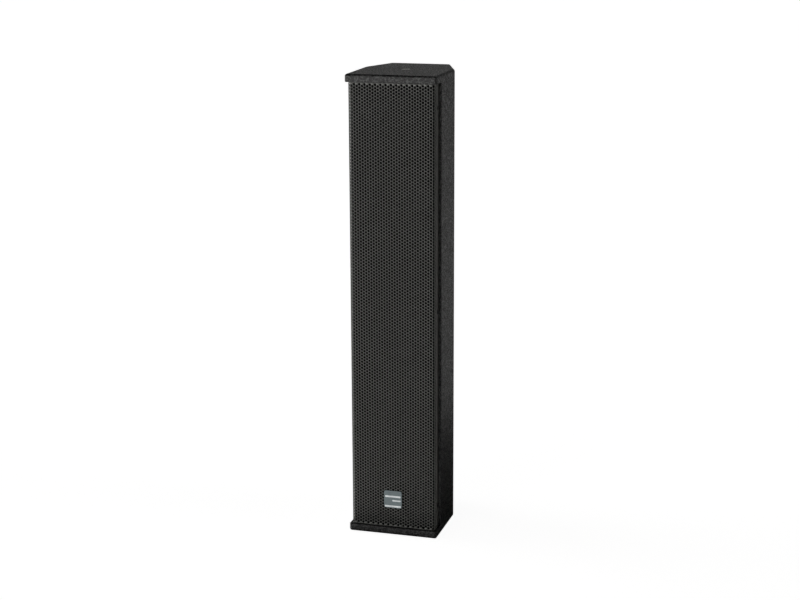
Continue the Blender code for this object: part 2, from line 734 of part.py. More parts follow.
def smooth_route(points):
    """Evenly spaced points on a Catmull-Rom curve through the given ones, all in metres."""
    route = [Vector(p) for p in points]
    ends = [2 * route[0] - route[1], *route, 2 * route[-1] - route[-2]]
    fine = []
    samples = 24
    for p0, p1, p2, p3 in zip(ends, ends[1:], ends[2:], ends[3:]):
        for i in range(samples):
            t = i / samples
            bend = (2 * p0 - 5 * p1 + 4 * p2 - p3) * t * t
            cubic = (3 * p1 - p0 - 3 * p2 + p3) * t * t * t
            fine.append((2 * p1 + (p2 - p0) * t + bend + cubic) / 2)
    fine.append(route[-1])
    kept = [fine[0]]
    for p in fine[1:-1]:
        if (p - kept[-1]).length >= LEAD_STEP:
            kept.append(p)
    if (fine[-1] - kept[-1]).length < LEAD_STEP / 2:
        kept.pop()
    return [*kept, fine[-1]]


def lead(name, points_mm):
    """One flat two-core lead along a route given in millimetres."""
    route = smooth_route([[c * MM for c in p] for p in points_mm])
    curve = bpy.data.curves.new(name, "CURVE")
    curve.dimensions = "3D"
    curve.bevel_depth = LEAD_R
    curve.bevel_resolution = 0
    curve.use_fill_caps = True
    spline = curve.splines.new("POLY")
    spline.points.add(len(route) - 1)
    for point, p in zip(spline.points, route):
        point.co = (*p, 1)
    obj = bpy.data.objects.new(name, curve)
    bpy.context.scene.collection.objects.link(obj)
    place(obj, name, CABLE)


def leads():
    """Internal wiring, from the sockets to the filter and on to the drivers. Each ends on a terminal."""
    rising = [(0, 78, 167), (2, 68, 170), (24, 60, 200), (44, 58, 260), (46, 58, 400), (46, 58, 500)]
    lead("input_lead", [*rising, (38, 70, 545), (33, 80, 562), (33, 86.2, 562)])
    filter_end = [(-33, 86.2, 565), (-34, 78, 563), (-44, 62, 530), (-55, 30, 450), (-58, 0, 370)]
    second_end = [(-57, -36, 325), (-52.5, -56, 307), (-58, -38, 275), (-58, -34, 235)]
    lead("lower_woofer_lead", [*filter_end, *second_end, (-57, -40, 195), (-50.5, -57, 169)])
    filter_end = [(-24, 86.2, 681), (-25, 78, 683), (-42, 60, 680), (-56, 26, 650), (-58, -10, 615)]
    third_end = [(-52.5, -56, 587), (-58, -38, 620), (-58, -34, 660)]
    lead("upper_woofer_lead", [*filter_end, *third_end, (-57, -40, 700), (-50.5, -57, 721)])
    falling = [(34, 86.2, 625), (35, 78, 622), (44, 62, 600), (54, 36, 540), (55, 10, 480)]
    lead("tweeter_lead", [*falling, (47, -8, 452), (42.3, -20, 447)])


def damping_pad():
    """Fibre pad that lines the back panel below the crossover."""
    outline = rounded(2 * PAD_HALF, PAD_HIGH - PAD_LOW, 6 * MM, 2, 0, (PAD_LOW + PAD_HIGH) / 2)
    back = BACK - PLY - GAP
    place(facing(outline, back, back - PAD_THICKNESS), "damping_pad", WADDING)


end_panels()
panels = walls()
baffle()
grille()
grille_screws()
woofers()
horn()
compression_driver()
ports()
fixings()
connectors(panels["back_panel"])
crossover()
leads()
damping_pad()
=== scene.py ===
"""Looks of the passive column loudspeaker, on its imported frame.

Metres, in the frame's own axes: +Z up, the grille faces -Y. Every piece is built in place.
"""

import json
import math

import bmesh
import bpy
from mathutils import Matrix, Vector

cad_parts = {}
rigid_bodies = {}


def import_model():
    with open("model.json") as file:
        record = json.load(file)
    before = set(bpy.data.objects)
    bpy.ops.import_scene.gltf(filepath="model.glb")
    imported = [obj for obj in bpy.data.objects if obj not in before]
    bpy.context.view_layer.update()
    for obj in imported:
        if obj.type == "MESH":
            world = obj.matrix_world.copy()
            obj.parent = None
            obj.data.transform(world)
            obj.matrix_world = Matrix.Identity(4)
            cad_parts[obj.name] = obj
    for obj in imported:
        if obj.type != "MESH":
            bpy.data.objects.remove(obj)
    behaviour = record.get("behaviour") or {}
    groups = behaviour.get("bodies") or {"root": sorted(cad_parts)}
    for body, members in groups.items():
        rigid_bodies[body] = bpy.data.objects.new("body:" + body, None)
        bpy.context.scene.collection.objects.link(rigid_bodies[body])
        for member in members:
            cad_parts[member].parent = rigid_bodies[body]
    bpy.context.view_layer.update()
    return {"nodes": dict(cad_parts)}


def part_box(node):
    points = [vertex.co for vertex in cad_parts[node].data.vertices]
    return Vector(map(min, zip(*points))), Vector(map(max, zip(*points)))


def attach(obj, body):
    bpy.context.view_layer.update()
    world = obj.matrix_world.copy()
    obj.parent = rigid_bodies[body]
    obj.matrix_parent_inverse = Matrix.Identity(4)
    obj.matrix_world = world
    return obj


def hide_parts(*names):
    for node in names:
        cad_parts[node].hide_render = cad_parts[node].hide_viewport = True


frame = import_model()

MM = 0.001
ROOT = "cabinet"

# The cabinet, as the frame has it.
(_, FRONT, _), (HALF, BACK, HEIGHT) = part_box("top_panel")
MIDDLE = HEIGHT / 2
PLY = 15 * MM
GAP = 0.3 * MM  # the frame's room between pieces that touch
WELD = 0.002 * MM  # points closer than this are one, after a cut
TAPER = math.radians(20)
FLANK_FRONT = FRONT + 34 * MM
FLANK_END = FRONT + 130 * MM
BACK_HALF = HALF - (BACK - FLANK_END) * math.tan(TAPER)
EDGE_RADIUS = 4.5 * MM
CORNER_RADIUS = 4.7 * MM
BEND_RADIUS = 8 * MM  # where the flank turns into the taper
PANEL_NOSE = 2 * MM  # rounding of the side panels' front edges
LIP = 1 * MM  # rounding under the end panels' overhang
ARC_STEPS = 8

# The grille's sheet.
GRILLE_LOW, GRILLE_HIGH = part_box("grille")
SHEET = 1.2 * MM
FOLD = 5 * MM
HOLE_RADIUS = 2.72 * MM
HOLE_SIDES = 8
HOLE_PITCH = 6 * MM
COLUMN_PITCH = 0.84 * HOLE_PITCH
HOLE_ROWS = 143  # in even columns; odd ones have one fewer
SIDE_COLUMNS = 18  # on each side of the middle one

SCREWS = [f"grille_screw_{side}_{i}" for side in ("left", "right") for i in (1, 2, 3)]
SCREW_SHANK = 1.9 * MM
FIXING_Y = (FRONT + BACK) / 2
INSERT_BARREL = 9 * MM  # radius of the rigging insert below its flange
POLE_CUP = 20.5 * MM  # outer radius of the pole socket
ROUND_STEPS = 48
FINE_STEPS = 64  # for the drivers
SMALL_STEPS = 24  # for screws


# ------------ materials


def grey(tone):
    return (tone, tone, tone)


class Graph:
    """A material's shader nodes, with short ways to add what the finishes share."""

    def __init__(self, name, metallic=0.0, specular=0.5):
        self.material = bpy.data.materials.new(name)
        self.material.use_nodes = True
        self.nodes = self.material.node_tree.nodes
        self.links = self.material.node_tree.links
        self.shader = self.nodes["Principled BSDF"]
        self.shader.inputs["Metallic"].default_value = metallic
        self.shader.inputs["Specular IOR Level"].default_value = specular
        self.place = self.nodes.new("ShaderNodeTexCoord").outputs["Object"]

    def set(self, socket, value):
        """A link from another node's output, or a plain value."""
        if isinstance(value, bpy.types.NodeSocket):
            self.links.new(value, socket)
        else:
            socket.default_value = value

    def stretched(self, x, y, z):
        """Object coordinates scaled along each axis."""
        mapping = self.nodes.new("ShaderNodeMapping")
        mapping.inputs["Scale"].default_value = (x, y, z)
        self.set(mapping.inputs["Vector"], self.place)
        return mapping.outputs["Vector"]

    def noise(self, size, detail=2.0, rough=0.5, vector=None):
        """Soft noise from 0 to 1 with features about that size, in metres."""
        node = self.nodes.new("ShaderNodeTexNoise")
        node.inputs["Scale"].default_value = 1 / size
        node.inputs["Detail"].default_value = detail
        node.inputs["Roughness"].default_value = rough
        self.set(node.inputs["Vector"], vector or self.place)
        return node.outputs["Fac"]

    def cells(self, size):
        """Distance to the nearest of scattered points about that far apart, 0 at each point."""
        node = self.nodes.new("ShaderNodeTexVoronoi")
        node.inputs["Scale"].default_value = 1 / size
        self.set(node.inputs["Vector"], self.place)
        return node.outputs["Distance"]

    def remap(self, value, low, high, to_low=0.0, to_high=1.0):
        """Value with low to high stretched over to_low to to_high, and held there outside."""
        node = self.nodes.new("ShaderNodeMapRange")
        ends = {"From Min": low, "From Max": high, "To Min": to_low, "To Max": to_high}
        for name, number in ends.items():
            node.inputs[name].default_value = number
        self.set(node.inputs["Value"], value)
        return node.outputs["Result"]

    def math(self, operation, a, b):
        node = self.nodes.new("ShaderNodeMath")
        node.operation = operation
        self.set(node.inputs[0], a)
        self.set(node.inputs[1], b)
        return node.outputs["Value"]

    def colour(self, factor, dark, light):
        """A colour between dark and light, each (r, g, b)."""
        node = self.nodes.new("ShaderNodeMix")
        node.data_type = "RGBA"
        node.inputs["A"].default_value = (*dark, 1)
        node.inputs["B"].default_value = (*light, 1)
        self.set(node.inputs["Factor"], factor)
        return node.outputs["Result"]

    def bump(self, height, depth, onto=None):
        """Normals of a relief of that depth, in metres, over the whole 0 to 1 of height."""
        node = self.nodes.new("ShaderNodeBump")
        node.inputs["Distance"].default_value = depth
        self.set(node.inputs["Height"], height)
        if onto is not None:
            self.set(node.inputs["Normal"], onto)
        return node.outputs["Normal"]

    def finish(self, colour, roughness, normal=None):
        self.set(self.shader.inputs["Base Color"], colour)
        self.set(self.shader.inputs["Roughness"], roughness)
        if normal is not None:
            self.set(self.shader.inputs["Normal"], normal)
        return self.material


def grained(name, dark, light, rough, size, depth, metallic=0.0, stretch=(1, 1, 1)):
    """A finish whose colour, roughness and relief follow one grain and its slow variation.

    The grain's size and its depth are in millimetres.
    """
    g = Graph(name, metallic)
    size, depth = size * MM, depth * MM
    where = g.stretched(*stretch)
    grain = g.noise(size, 3.0, 0.6, where)
    drift = g.noise(size * 14, 2.0, 0.5)
    mixed = g.remap(g.math("ADD", grain, drift), 0.75, 1.25)
    roughness = g.remap(mixed, 0, 1, *rough)
    return g.finish(g.colour(mixed, dark, light), roughness, g.bump(grain, depth))


def structure_paint():
    """Black two-part cabinet paint, sprayed to a pebbled coat."""
    g = Graph("cabinet_paint", specular=0.5)
    lumps = g.noise(2.8 * MM, 1.0, 0.5)
    spatter = g.noise(1.2 * MM, 2.0, 0.6)
    drift = g.noise(60 * MM, 3.0, 0.55)
    grain = g.math("ADD", g.math("MULTIPLY", lumps, 0.7), g.math("MULTIPLY", spatter, 0.3))
    shown = g.remap(grain, 0.48, 0.57)
    relief = g.bump(spatter, 0.5 * MM, g.bump(lumps, 1.3 * MM))
    colour = g.colour(shown, (0.0002, 0.0002, 0.0003), (0.049, 0.049, 0.048))
    roughness = g.math("ADD", g.remap(shown, 0, 1, 0.5, 0.26), g.math("MULTIPLY", drift, 0.08))
    return g.finish(colour, roughness, relief)


def grille_coat():
    """Powder coat on the perforated sheet, faintly warm."""
    g = Graph("grille_coat", specular=1.0)
    orange_peel = g.noise(0.8 * MM, 2.0, 0.5)
    drift = g.noise(60 * MM, 2.0, 0.5)
    colour = g.colour(drift, (0.07, 0.072, 0.064), (0.1, 0.102, 0.092))
    return g.finish(colour, g.remap(orange_peel, 0.3, 0.7, 0.3, 0.38), g.bump(orange_peel, 0.05 * MM))


def open_cell_foam():
    """Black acoustic foam."""
    g = Graph("foam", specular=0.0)
    pores = g.cells(0.7 * MM)
    return g.finish(g.colour(pores, grey(0.0004), grey(0.0015)), 0.95, g.bump(pores, 0.5 * MM))


def brushed(name, dark, light, rough, along):
    """Metal with fine straight brush lines along one axis, "X", "Y" or "Z"."""
    g = Graph(name, metallic=1.0)
    fine, coarse = 1.0, 0.04
    lines = g.noise(0.25 * MM, 3.0, 0.7, g.stretched(*(coarse if a == along else fine for a in "XYZ")))
    clouds = g.noise(9 * MM, 2.0, 0.5)
    mixed = g.remap(g.math("ADD", lines, clouds), 0.7, 1.3)
    return g.finish(g.colour(mixed, dark, light), g.remap(mixed, 0, 1, *rough), g.bump(lines, 0.02 * MM))


def backdrop():
    """Pale matt floor. It glows a little, so that it stays pale under the soft light."""
    g = Graph("backdrop", specular=0.0)
    tone = g.remap(g.noise(0.6, 2.0, 0.5), 0.3, 0.7, 0.86, 0.88)
    g.shader.inputs["Emission Color"].default_value = (1, 1, 1, 1)
    g.shader.inputs["Emission Strength"].default_value = 0.93
    return g.finish(g.colour(tone, (0, 0, 0), (1, 1, 1)), 1.0)


FINISHES = {  # by slot
    "cabinet_paint": structure_paint(),
    "grille_coat": grille_coat(),
    "foam": open_cell_foam(),
    "badge_metal": brushed("badge_metal", (0.052, 0.063, 0.066), (0.085, 0.1, 0.104), (0.38, 0.5), "X"),
    "zinc": brushed("zinc", (0.5, 0.5, 0.48), (0.75, 0.75, 0.72), (0.3, 0.45), "Z"),
}
for slot_finish in (
    ("painted_steel", grey(0.012), grey(0.022), (0.32, 0.45), 0.5, 0.03),
    ("ferrite", (0.035, 0.035, 0.038), (0.08, 0.08, 0.083), (0.45, 0.65), 0.4, 0.04, 0.4),
    ("cone_paper", grey(0.018), (0.045, 0.045, 0.043), (0.75, 0.95), 0.6, 0.15),
    ("surround_rubber", grey(0.012), grey(0.022), (0.5, 0.7), 0.4, 0.03),
    ("spider_cloth", (0.3, 0.18, 0.06), (0.5, 0.34, 0.15), (0.8, 0.95), 0.5, 0.2),
    ("black_plastic", (0.012, 0.012, 0.013), (0.022, 0.022, 0.023), (0.4, 0.55), 0.45, 0.04),
    ("titanium", (0.4, 0.4, 0.42), (0.58, 0.58, 0.6), (0.25, 0.4), 0.6, 0.01, 1.0),
    ("board_laminate", (0.015, 0.08, 0.03), (0.03, 0.13, 0.05), (0.35, 0.5), 0.9, 0.03),
    ("copper", (0.4, 0.15, 0.06), (0.65, 0.3, 0.13), (0.25, 0.4), 1.0, 0.15, 1.0, (0.3, 0.3, 1)),
    ("capacitor_film", (0.25, 0.03, 0.02), (0.38, 0.05, 0.04), (0.25, 0.4), 3, 0.05),
    ("ceramic", (0.62, 0.6, 0.54), (0.8, 0.78, 0.72), (0.6, 0.8), 0.6, 0.08),
    ("cable_sheath", (0.03, 0.008, 0.008), (0.06, 0.02, 0.02), (0.4, 0.6), 1.0, 0.04),
    ("wadding", (0.45, 0.45, 0.43), (0.75, 0.75, 0.72), (0.9, 1.0), 1.2, 1.0),
):
    FINISHES[slot_finish[0]] = grained(*slot_finish)

BADGE_TRIM = brushed("badge_trim", (0.2, 0.21, 0.215), (0.4, 0.42, 0.425), (0.4, 0.5), "X")
BRASS = brushed("contact_brass", (0.45, 0.33, 0.12), (0.7, 0.55, 0.24), (0.2, 0.35), "Y")


# ------------ shapes


def linked(name, data):
    """A new object in the scene."""
    obj = bpy.data.objects.new(name, data)
    bpy.context.scene.collection.objects.link(obj)
    return obj


def object_of(vertices, faces):
    mesh = bpy.data.meshes.new("shape")
    mesh.from_pydata(vertices, [], faces)
    return linked("shape", mesh)


def middle_and_size(node):
    """Middle and size of a CAD node's box."""
    low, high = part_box(node)
    return (low + high) / 2, high - low


def arc(corner, before, after, radius):
    """(point, outward normal) pairs round one corner of an anticlockwise outline."""
    arriving = (corner - before).normalized()
    leaving = (after - corner).normalized()
    first = Vector((arriving.y, -arriving.x))
    last = Vector((leaving.y, -leaving.x))
    turn = math.atan2(first.x * last.y - first.y * last.x, first.dot(last))
    if abs(turn) < 1e-6:
        return [(corner, first)]
    centre = corner - (first + last) * radius / (1 + first.dot(last))
    pairs = []
    for step in range(ARC_STEPS + 1):
        normal = Matrix.Rotation(turn * step / ARC_STEPS, 2) @ first
        pairs.append((centre + normal * radius, normal))
    return pairs


def outline(corners, radii):
    """(point, outward normal) pairs round an anticlockwise outline with rounded corners."""
    points = [Vector(c) for c in corners]
    pairs = []
    for i, (corner, radius) in enumerate(zip(points, radii)):
        pairs += arc(corner, points[i - 1], points[(i + 1) % len(points)], radius)
    return pairs


def rectangle(width, height, radius):
    """Rounded rectangle about the origin."""
    x, y = width / 2, height / 2
    return outline([(-x, -y), (x, -y), (x, y), (-x, y)], [radius] * 4)


def ring(path, inset, height):
    """The outline pulled in by inset, at a height. inset may be a function of the point."""
    depth = inset if callable(inset) else lambda point: inset
    return [(*(p - n * depth(p)), height) for p, n in path]


def loft(rings):
    """A closed shape through rings of equally many points, from the lowest to the highest."""
    count = len(rings[0])
    vertices = [p for one in rings for p in one]
    faces = []
    for k in range(len(rings) - 1):
        for i in range(count):
            j = (i + 1) % count
            low, high = k * count, (k + 1) * count
            faces.append((low + i, low + j, high + j, high + i))
    faces.append(tuple(reversed(range(count))))
    faces.append(tuple(range(len(vertices) - count, len(vertices))))
    return object_of(vertices, faces)


def softened(path, low, high, radius, steps=4):
    """A plate between two heights, with its top edge rounded to that radius and its bottom one slightly."""
    chamfer = radius / 4
    rings = [ring(path, chamfer, low), ring(path, 0, low + chamfer)]
    for step in range(steps + 1):
        a = math.pi / 2 * step / steps
        rings.append(ring(path, radius * (1 - math.cos(a)), high - radius + radius * math.sin(a)))
    return loft(rings)


def turned(profile, steps=ROUND_STEPS):
    """A profile of (radius, height) points in millimetres, turned about the z axis.

    It runs down the outer side. It starts and ends on the axis, or else it closes into a ring.
    """
    vertices = []
    rows = []
    for radius, height in profile:
        count = steps if radius > 0 else 1
        rows.append([len(vertices) + i for i in range(count)])
        for i in range(count):
            a = 2 * math.pi * i / steps
            vertices.append((radius * MM * math.cos(a), radius * MM * math.sin(a), height * MM))
    if profile[0][0] > 0:
        rows.append(rows[0])
    faces = []
    for upper, lower in zip(rows, rows[1:]):
        for i in range(steps):
            j = (i + 1) % steps
            corners = [row[k % len(row)] for row, k in ((upper, i), (lower, i), (lower, j), (upper, j))]
            faces.append(tuple(dict.fromkeys(corners)))
    return object_of(vertices, faces)


def rod(radius, low, high, steps=ROUND_STEPS):
    """A plain upright cylinder in millimetres, for cutting."""
    return turned([(0, high), (radius, high), (radius, low), (0, low)], steps)


def block(low, high):
    """A plain box, for cutting."""
    (x0, y0, z0), (x1, y1, z1) = low, high
    return loft([[(x0, y0, z), (x1, y0, z), (x1, y1, z), (x0, y1, z)] for z in (z0, z1)])


def moved(obj, matrix):
    """Moves the shape's own points."""
    obj.data.transform(matrix)
    return obj


def copied(shape, place):
    """A copy of the shape with its points moved."""
    return moved(linked("copy", shape.data.copy()), place)


def baked(obj):
    """The object with its modifiers applied and its points welded."""
    bpy.context.view_layer.update()
    graph = bpy.context.evaluated_depsgraph_get()
    mesh = bpy.data.meshes.new_from_object(obj.evaluated_get(graph))
    welded = bmesh.new()
    welded.from_mesh(mesh)
    bmesh.ops.remove_doubles(welded, verts=welded.verts, dist=WELD)
    welded.to_mesh(mesh)
    welded.free()
    obj.modifiers.clear()
    obj.data = mesh
    return obj


def carve(obj, tool, operation="DIFFERENCE"):
    """Cuts the tool's shape from the object, or joins it. The tool is used up."""
    step = obj.modifiers.new("carve", "BOOLEAN")
    step.operation = operation
    step.solver = "EXACT"
    step.object = tool
    baked(obj)
    bpy.data.objects.remove(tool)
    return obj


def smooth(obj, angle=32):
    """Smooth shading up to that angle, with flat faces kept flat."""
    obj.data.shade_smooth()
    obj.data.set_sharp_from_angle(angle=math.radians(angle))
    weighted = obj.modifiers.new("flat_faces", "WEIGHTED_NORMAL")
    weighted.keep_sharp = True
    return obj


def piece(obj, name, slot, replaces=(), body=ROOT, finish=None):
    """Names a finished shape, gives it its slot's finish or its own, and lets it ride on its body."""
    obj.name = name
    obj.data.name = name
    obj.data.materials.clear()
    obj.data.materials.append(finish or FINISHES[slot])
    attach(obj, body)
    if replaces:
        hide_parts(*replaces)
    return obj


FORWARD = Matrix.Rotation(math.pi / 2, 4, "X")  # turns +Z to face the front
BACKWARD = Matrix.Rotation(-math.pi / 2, 4, "X")  # turns +Z to face the back
PLATE_CORNERS = ((1, 1), (-1, 1), (-1, -1), (1, -1))


def on_circle(radius, quarter):
    """Shift to the middle of one of the four quarters of a circle, counted from 0."""
    a = math.pi / 4 + quarter * math.pi / 2
    return Matrix.Translation((radius * math.cos(a), radius * math.sin(a), 0))


# ------------ cabinet


def plan_corners():
    """Plan corners of the cabinet from the right flank's front end round the back to the left one's."""
    right = [Vector((HALF, FLANK_FRONT)), Vector((HALF, FLANK_END)), Vector((BACK_HALF, BACK))]
    return right + [Vector((-p.x, p.y)) for p in reversed(right)]


def end_panel(z_of):
    """Top or bottom panel. z_of gives the height of a level counted from the panel's inner face."""
    corners = plan_corners()
    overhang = [Vector((side * HALF, FLANK_FRONT - LIP)) for side in (-1, 1)]
    front = [Vector((-HALF, FRONT)), Vector((HALF, FRONT))]
    path = outline(
        [overhang[0], *front, overhang[1], *corners],
        [0, CORNER_RADIUS, CORNER_RADIUS, 0, 0, BEND_RADIUS, CORNER_RADIUS, CORNER_RADIUS, BEND_RADIUS, 0],
    )

    def under_lip(point):
        return LIP if point.y < FLANK_FRONT - LIP / 2 else 0

    levels = [(0, under_lip), (LIP, 0)]
    for step in range(6):
        a = math.pi / 2 * step / 5
        levels.append((PLY - EDGE_RADIUS * (1 - math.sin(a)), EDGE_RADIUS * (1 - math.cos(a))))
    rings = [ring(path, inset, z_of(level)) for level, inset in levels]
    if rings[0][0][2] > rings[-1][0][2]:
        rings.reverse()
    return loft(rings)


def bored(obj, *bores):
    """Cuts upright round holes on the fixings' axis, each (radius, low, high) in metres."""
    for bore in bores:
        tool = rod(*(length / MM for length in bore))
        carve(obj, moved(tool, Matrix.Translation((0, FIXING_Y, 0))))
    return obj


def end_panels():
    radius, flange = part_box("top_rigging_insert")[1].x + GAP, 2 * MM + GAP
    top = end_panel(lambda level: HEIGHT - PLY + level)
    bored(top, (radius, HEIGHT - flange, HEIGHT + PLY), (INSERT_BARREL + GAP, HEIGHT - 2 * PLY, HEIGHT))
    piece(smooth(top), "painted_top_panel", "cabinet_paint", ["top_panel"])

    radius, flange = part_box("pole_socket")[1].x + GAP, 3 * MM + GAP
    bottom = end_panel(lambda level: PLY - level)
    bored(bottom, (radius, -PLY, flange), (POLE_CUP + GAP, 0, 2 * PLY))
    piece(smooth(bottom), "painted_bottom_panel", "cabinet_paint", ["bottom_panel"])


def walls():
    """Side, rear corner and back panels. Each ends half way round the rounded corner it shares."""
    corners = plan_corners()
    radii = [PANEL_NOSE, BEND_RADIUS, CORNER_RADIUS, CORNER_RADIUS, BEND_RADIUS, PANEL_NOSE]
    ahead = Vector((HALF - PLY, FLANK_FRONT))
    before = [ahead, *corners[:-1]]
    after = [*corners[1:], Vector((-ahead.x, ahead.y))]
    arcs = [arc(*corner) for corner in zip(corners, before, after, radii)]
    inner = [ahead]
    for corner, pairs in list(zip(corners, arcs))[1:-1]:
        first, last = pairs[0][1], pairs[-1][1]
        inner.append(corner - (first + last) * PLY / (1 + first.dot(last)))
    inner.append(after[-1])
    half = ARC_STEPS // 2
    names = ["right_side_panel", "right_rear_panel", "back_panel", "left_rear_panel", "left_side_panel"]
    made = {}
    for i, name in enumerate(names):
        start = arcs[i] if i == 0 else arcs[i][half:]
        end = arcs[i + 1] if i == len(names) - 1 else arcs[i + 1][: half + 1]
        points = [p for p, _ in start + end] + [inner[i + 1], inner[i]]
        made[name] = loft([[(*p, z) for p in points] for z in (PLY, HEIGHT - PLY)])
    return made


def painted_walls():
    made = walls()
    plate_low, plate_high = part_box("connector_plate")
    width, height = plate_high.x - plate_low.x, plate_high.z - plate_low.z
    centre = (plate_low.z + plate_high.z) / 2
    pocket = loft([ring(rectangle(width + 2 * GAP, height + 2 * GAP, 5 * MM), 0, z) for z in (0, 2 * PLY)])
    moved(pocket, Matrix.Translation((0, plate_low.y - GAP, centre)) @ BACKWARD)
    carve(made["back_panel"], pocket)
    land = 10 * MM
    opening = block(
        (plate_low.x + land, BACK - 2 * PLY, plate_low.z + land),
        (plate_high.x - land, BACK + PLY, plate_high.z - land),
    )
    carve(made["back_panel"], opening)
    for name, obj in made.items():
        piece(smooth(obj, 25), f"painted_{name}", "cabinet_paint", [name])


# ------------ grille


def hole_centres():
    """Centres of the grille's holes in the unfolded sheet, by (column, row)."""
    centres = {}
    for column in range(-SIDE_COLUMNS, SIDE_COLUMNS + 1):
        rows = HOLE_ROWS - column % 2
        for row in range(rows):
            centres[column, row] = (column * COLUMN_PITCH, (row - (rows - 1) / 2) * HOLE_PITCH)
    return centres


def webs(centres):
    """Faces between neighbouring holes, each as corners of (hole, corner of its octagon)."""
    for column, row in centres:
        me, above = (column, row), (column, row + 1)
        right_up = (column + 1, row + column % 2)
        right_down = (column + 1, row + column % 2 - 1)
        left_up = (column - 1, row + column % 2)
        yield (me, 1), (above, 6), (above, 5), (me, 2)
        yield (me, 0), (right_up, 5), (right_up, 4), (me, 1)
        yield (me, 6), (right_down, 3), (right_down, 2), (me, 7)
        yield (me, 1), (right_up, 4), (right_up, 3), (above, 6)
        yield (me, 2), (above, 5), (left_up, 0), (left_up, 7)


def flat_grille(fold_start, fold_length, half_width, half_height):
    """The unfolded sheet's front face, with all its holes, as points and faces."""
    flat = bmesh.new()

    def loop(points):
        made = [flat.verts.new((x, 0, up)) for x, up in points]
        for i, vert in enumerate(made):
            flat.edges.new((made[i - 1], vert))
        return made

    def octagon(x, up, radius):
        angles = [2 * math.pi * (side + 0.5) / HOLE_SIDES for side in range(HOLE_SIDES)]
        return loop([(x + radius * math.cos(a), up + radius * math.sin(a)) for a in angles])

    centres = hole_centres()
    holes = {key: octagon(x, up, HOLE_RADIUS) for key, (x, up) in centres.items()}
    inside = {edge for hole in holes.values() for vert in hole for edge in vert.link_edges}
    for corners in webs(centres):
        if all(hole in holes for hole, _ in corners):
            flat.faces.new([holes[hole][corner] for hole, corner in corners])
    margin = [e for e in flat.edges if not e.link_faces or (len(e.link_faces) == 1 and e not in inside)]

    for name in SCREWS:
        low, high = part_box(name)
        along = fold_start + fold_length + (low.y + high.y) / 2 - (GRILLE_LOW.y + FOLD)
        side = math.copysign(along, low.x)
        bore = octagon(side, (low.z + high.z) / 2 - MIDDLE, SCREW_SHANK + GAP)
        margin += {edge for vert in bore for edge in vert.link_edges}

    columns = [i * COLUMN_PITCH for i in range(-SIDE_COLUMNS - 2, SIDE_COLUMNS + 3)]
    rows = [i * HOLE_PITCH for i in range(-HOLE_ROWS // 2, HOLE_ROWS // 2 + 1)]
    columns = [x for x in columns if abs(x) < half_width]
    rows = [up for up in rows if abs(up) < half_height]
    rim = [(-half_width, -half_height)] + [(x, -half_height) for x in columns]
    rim += [(half_width, -half_height)] + [(half_width, up) for up in rows]
    rim += [(-x, -up) for x, up in rim]
    outer = loop(rim)
    margin += {edge for vert in outer for edge in vert.link_edges}
    bmesh.ops.triangle_fill(flat, edges=margin, use_beauty=True, normal=(0, -1, 0))
    flat.normal_update()
    bmesh.ops.reverse_faces(flat, faces=[f for f in flat.faces if f.normal.y > 0])
    flat.verts.index_update()
    points = [(v.co.x, v.co.z) for v in flat.verts]
    faces = [[v.index for v in f.verts] for f in flat.faces]
    flat.free()
    return points, faces


def grille():
    """The perforated sheet: laid out flat, thickened, and folded back at both sides."""
    fold_start = GRILLE_HIGH.x - FOLD
    fold_length = math.pi / 2 * (FOLD - SHEET / 2)
    half_width = fold_start + fold_length + GRILLE_HIGH.y - GRILLE_LOW.y - FOLD
    half_height = (GRILLE_HIGH.z - GRILLE_LOW.z) / 2
    points, faces = flat_grille(fold_start, fold_length, half_width, half_height)

    def folded(x, up, depth):
        past = abs(x) - fold_start
        if past <= 0:
            across, back = abs(x), depth
        elif past < fold_length:
            a = past / (FOLD - SHEET / 2)
            across = fold_start + (FOLD - depth) * math.sin(a)
            back = FOLD - (FOLD - depth) * math.cos(a)
        else:
            across = fold_start + FOLD - depth
            back = FOLD + past - fold_length
        return math.copysign(across, x), GRILLE_LOW.y + back, MIDDLE + up

    count = len(points)
    vertices = [folded(x, up, depth) for depth in (0, SHEET) for x, up in points]
    ways = {(a, b) for face in faces for a, b in zip(face, face[1:] + face[:1])}
    solid = faces + [[i + count for i in reversed(face)] for face in faces]
    solid += [[b, a, a + count, b + count] for a, b in ways if (b, a) not in ways]
    sheet = object_of(vertices, solid)
    sheet.data.shade_smooth()
    sheet.data.set_sharp_from_angle(angle=math.radians(100))
    piece(sheet, "perforated_grille", "grille_coat", ["grille"])


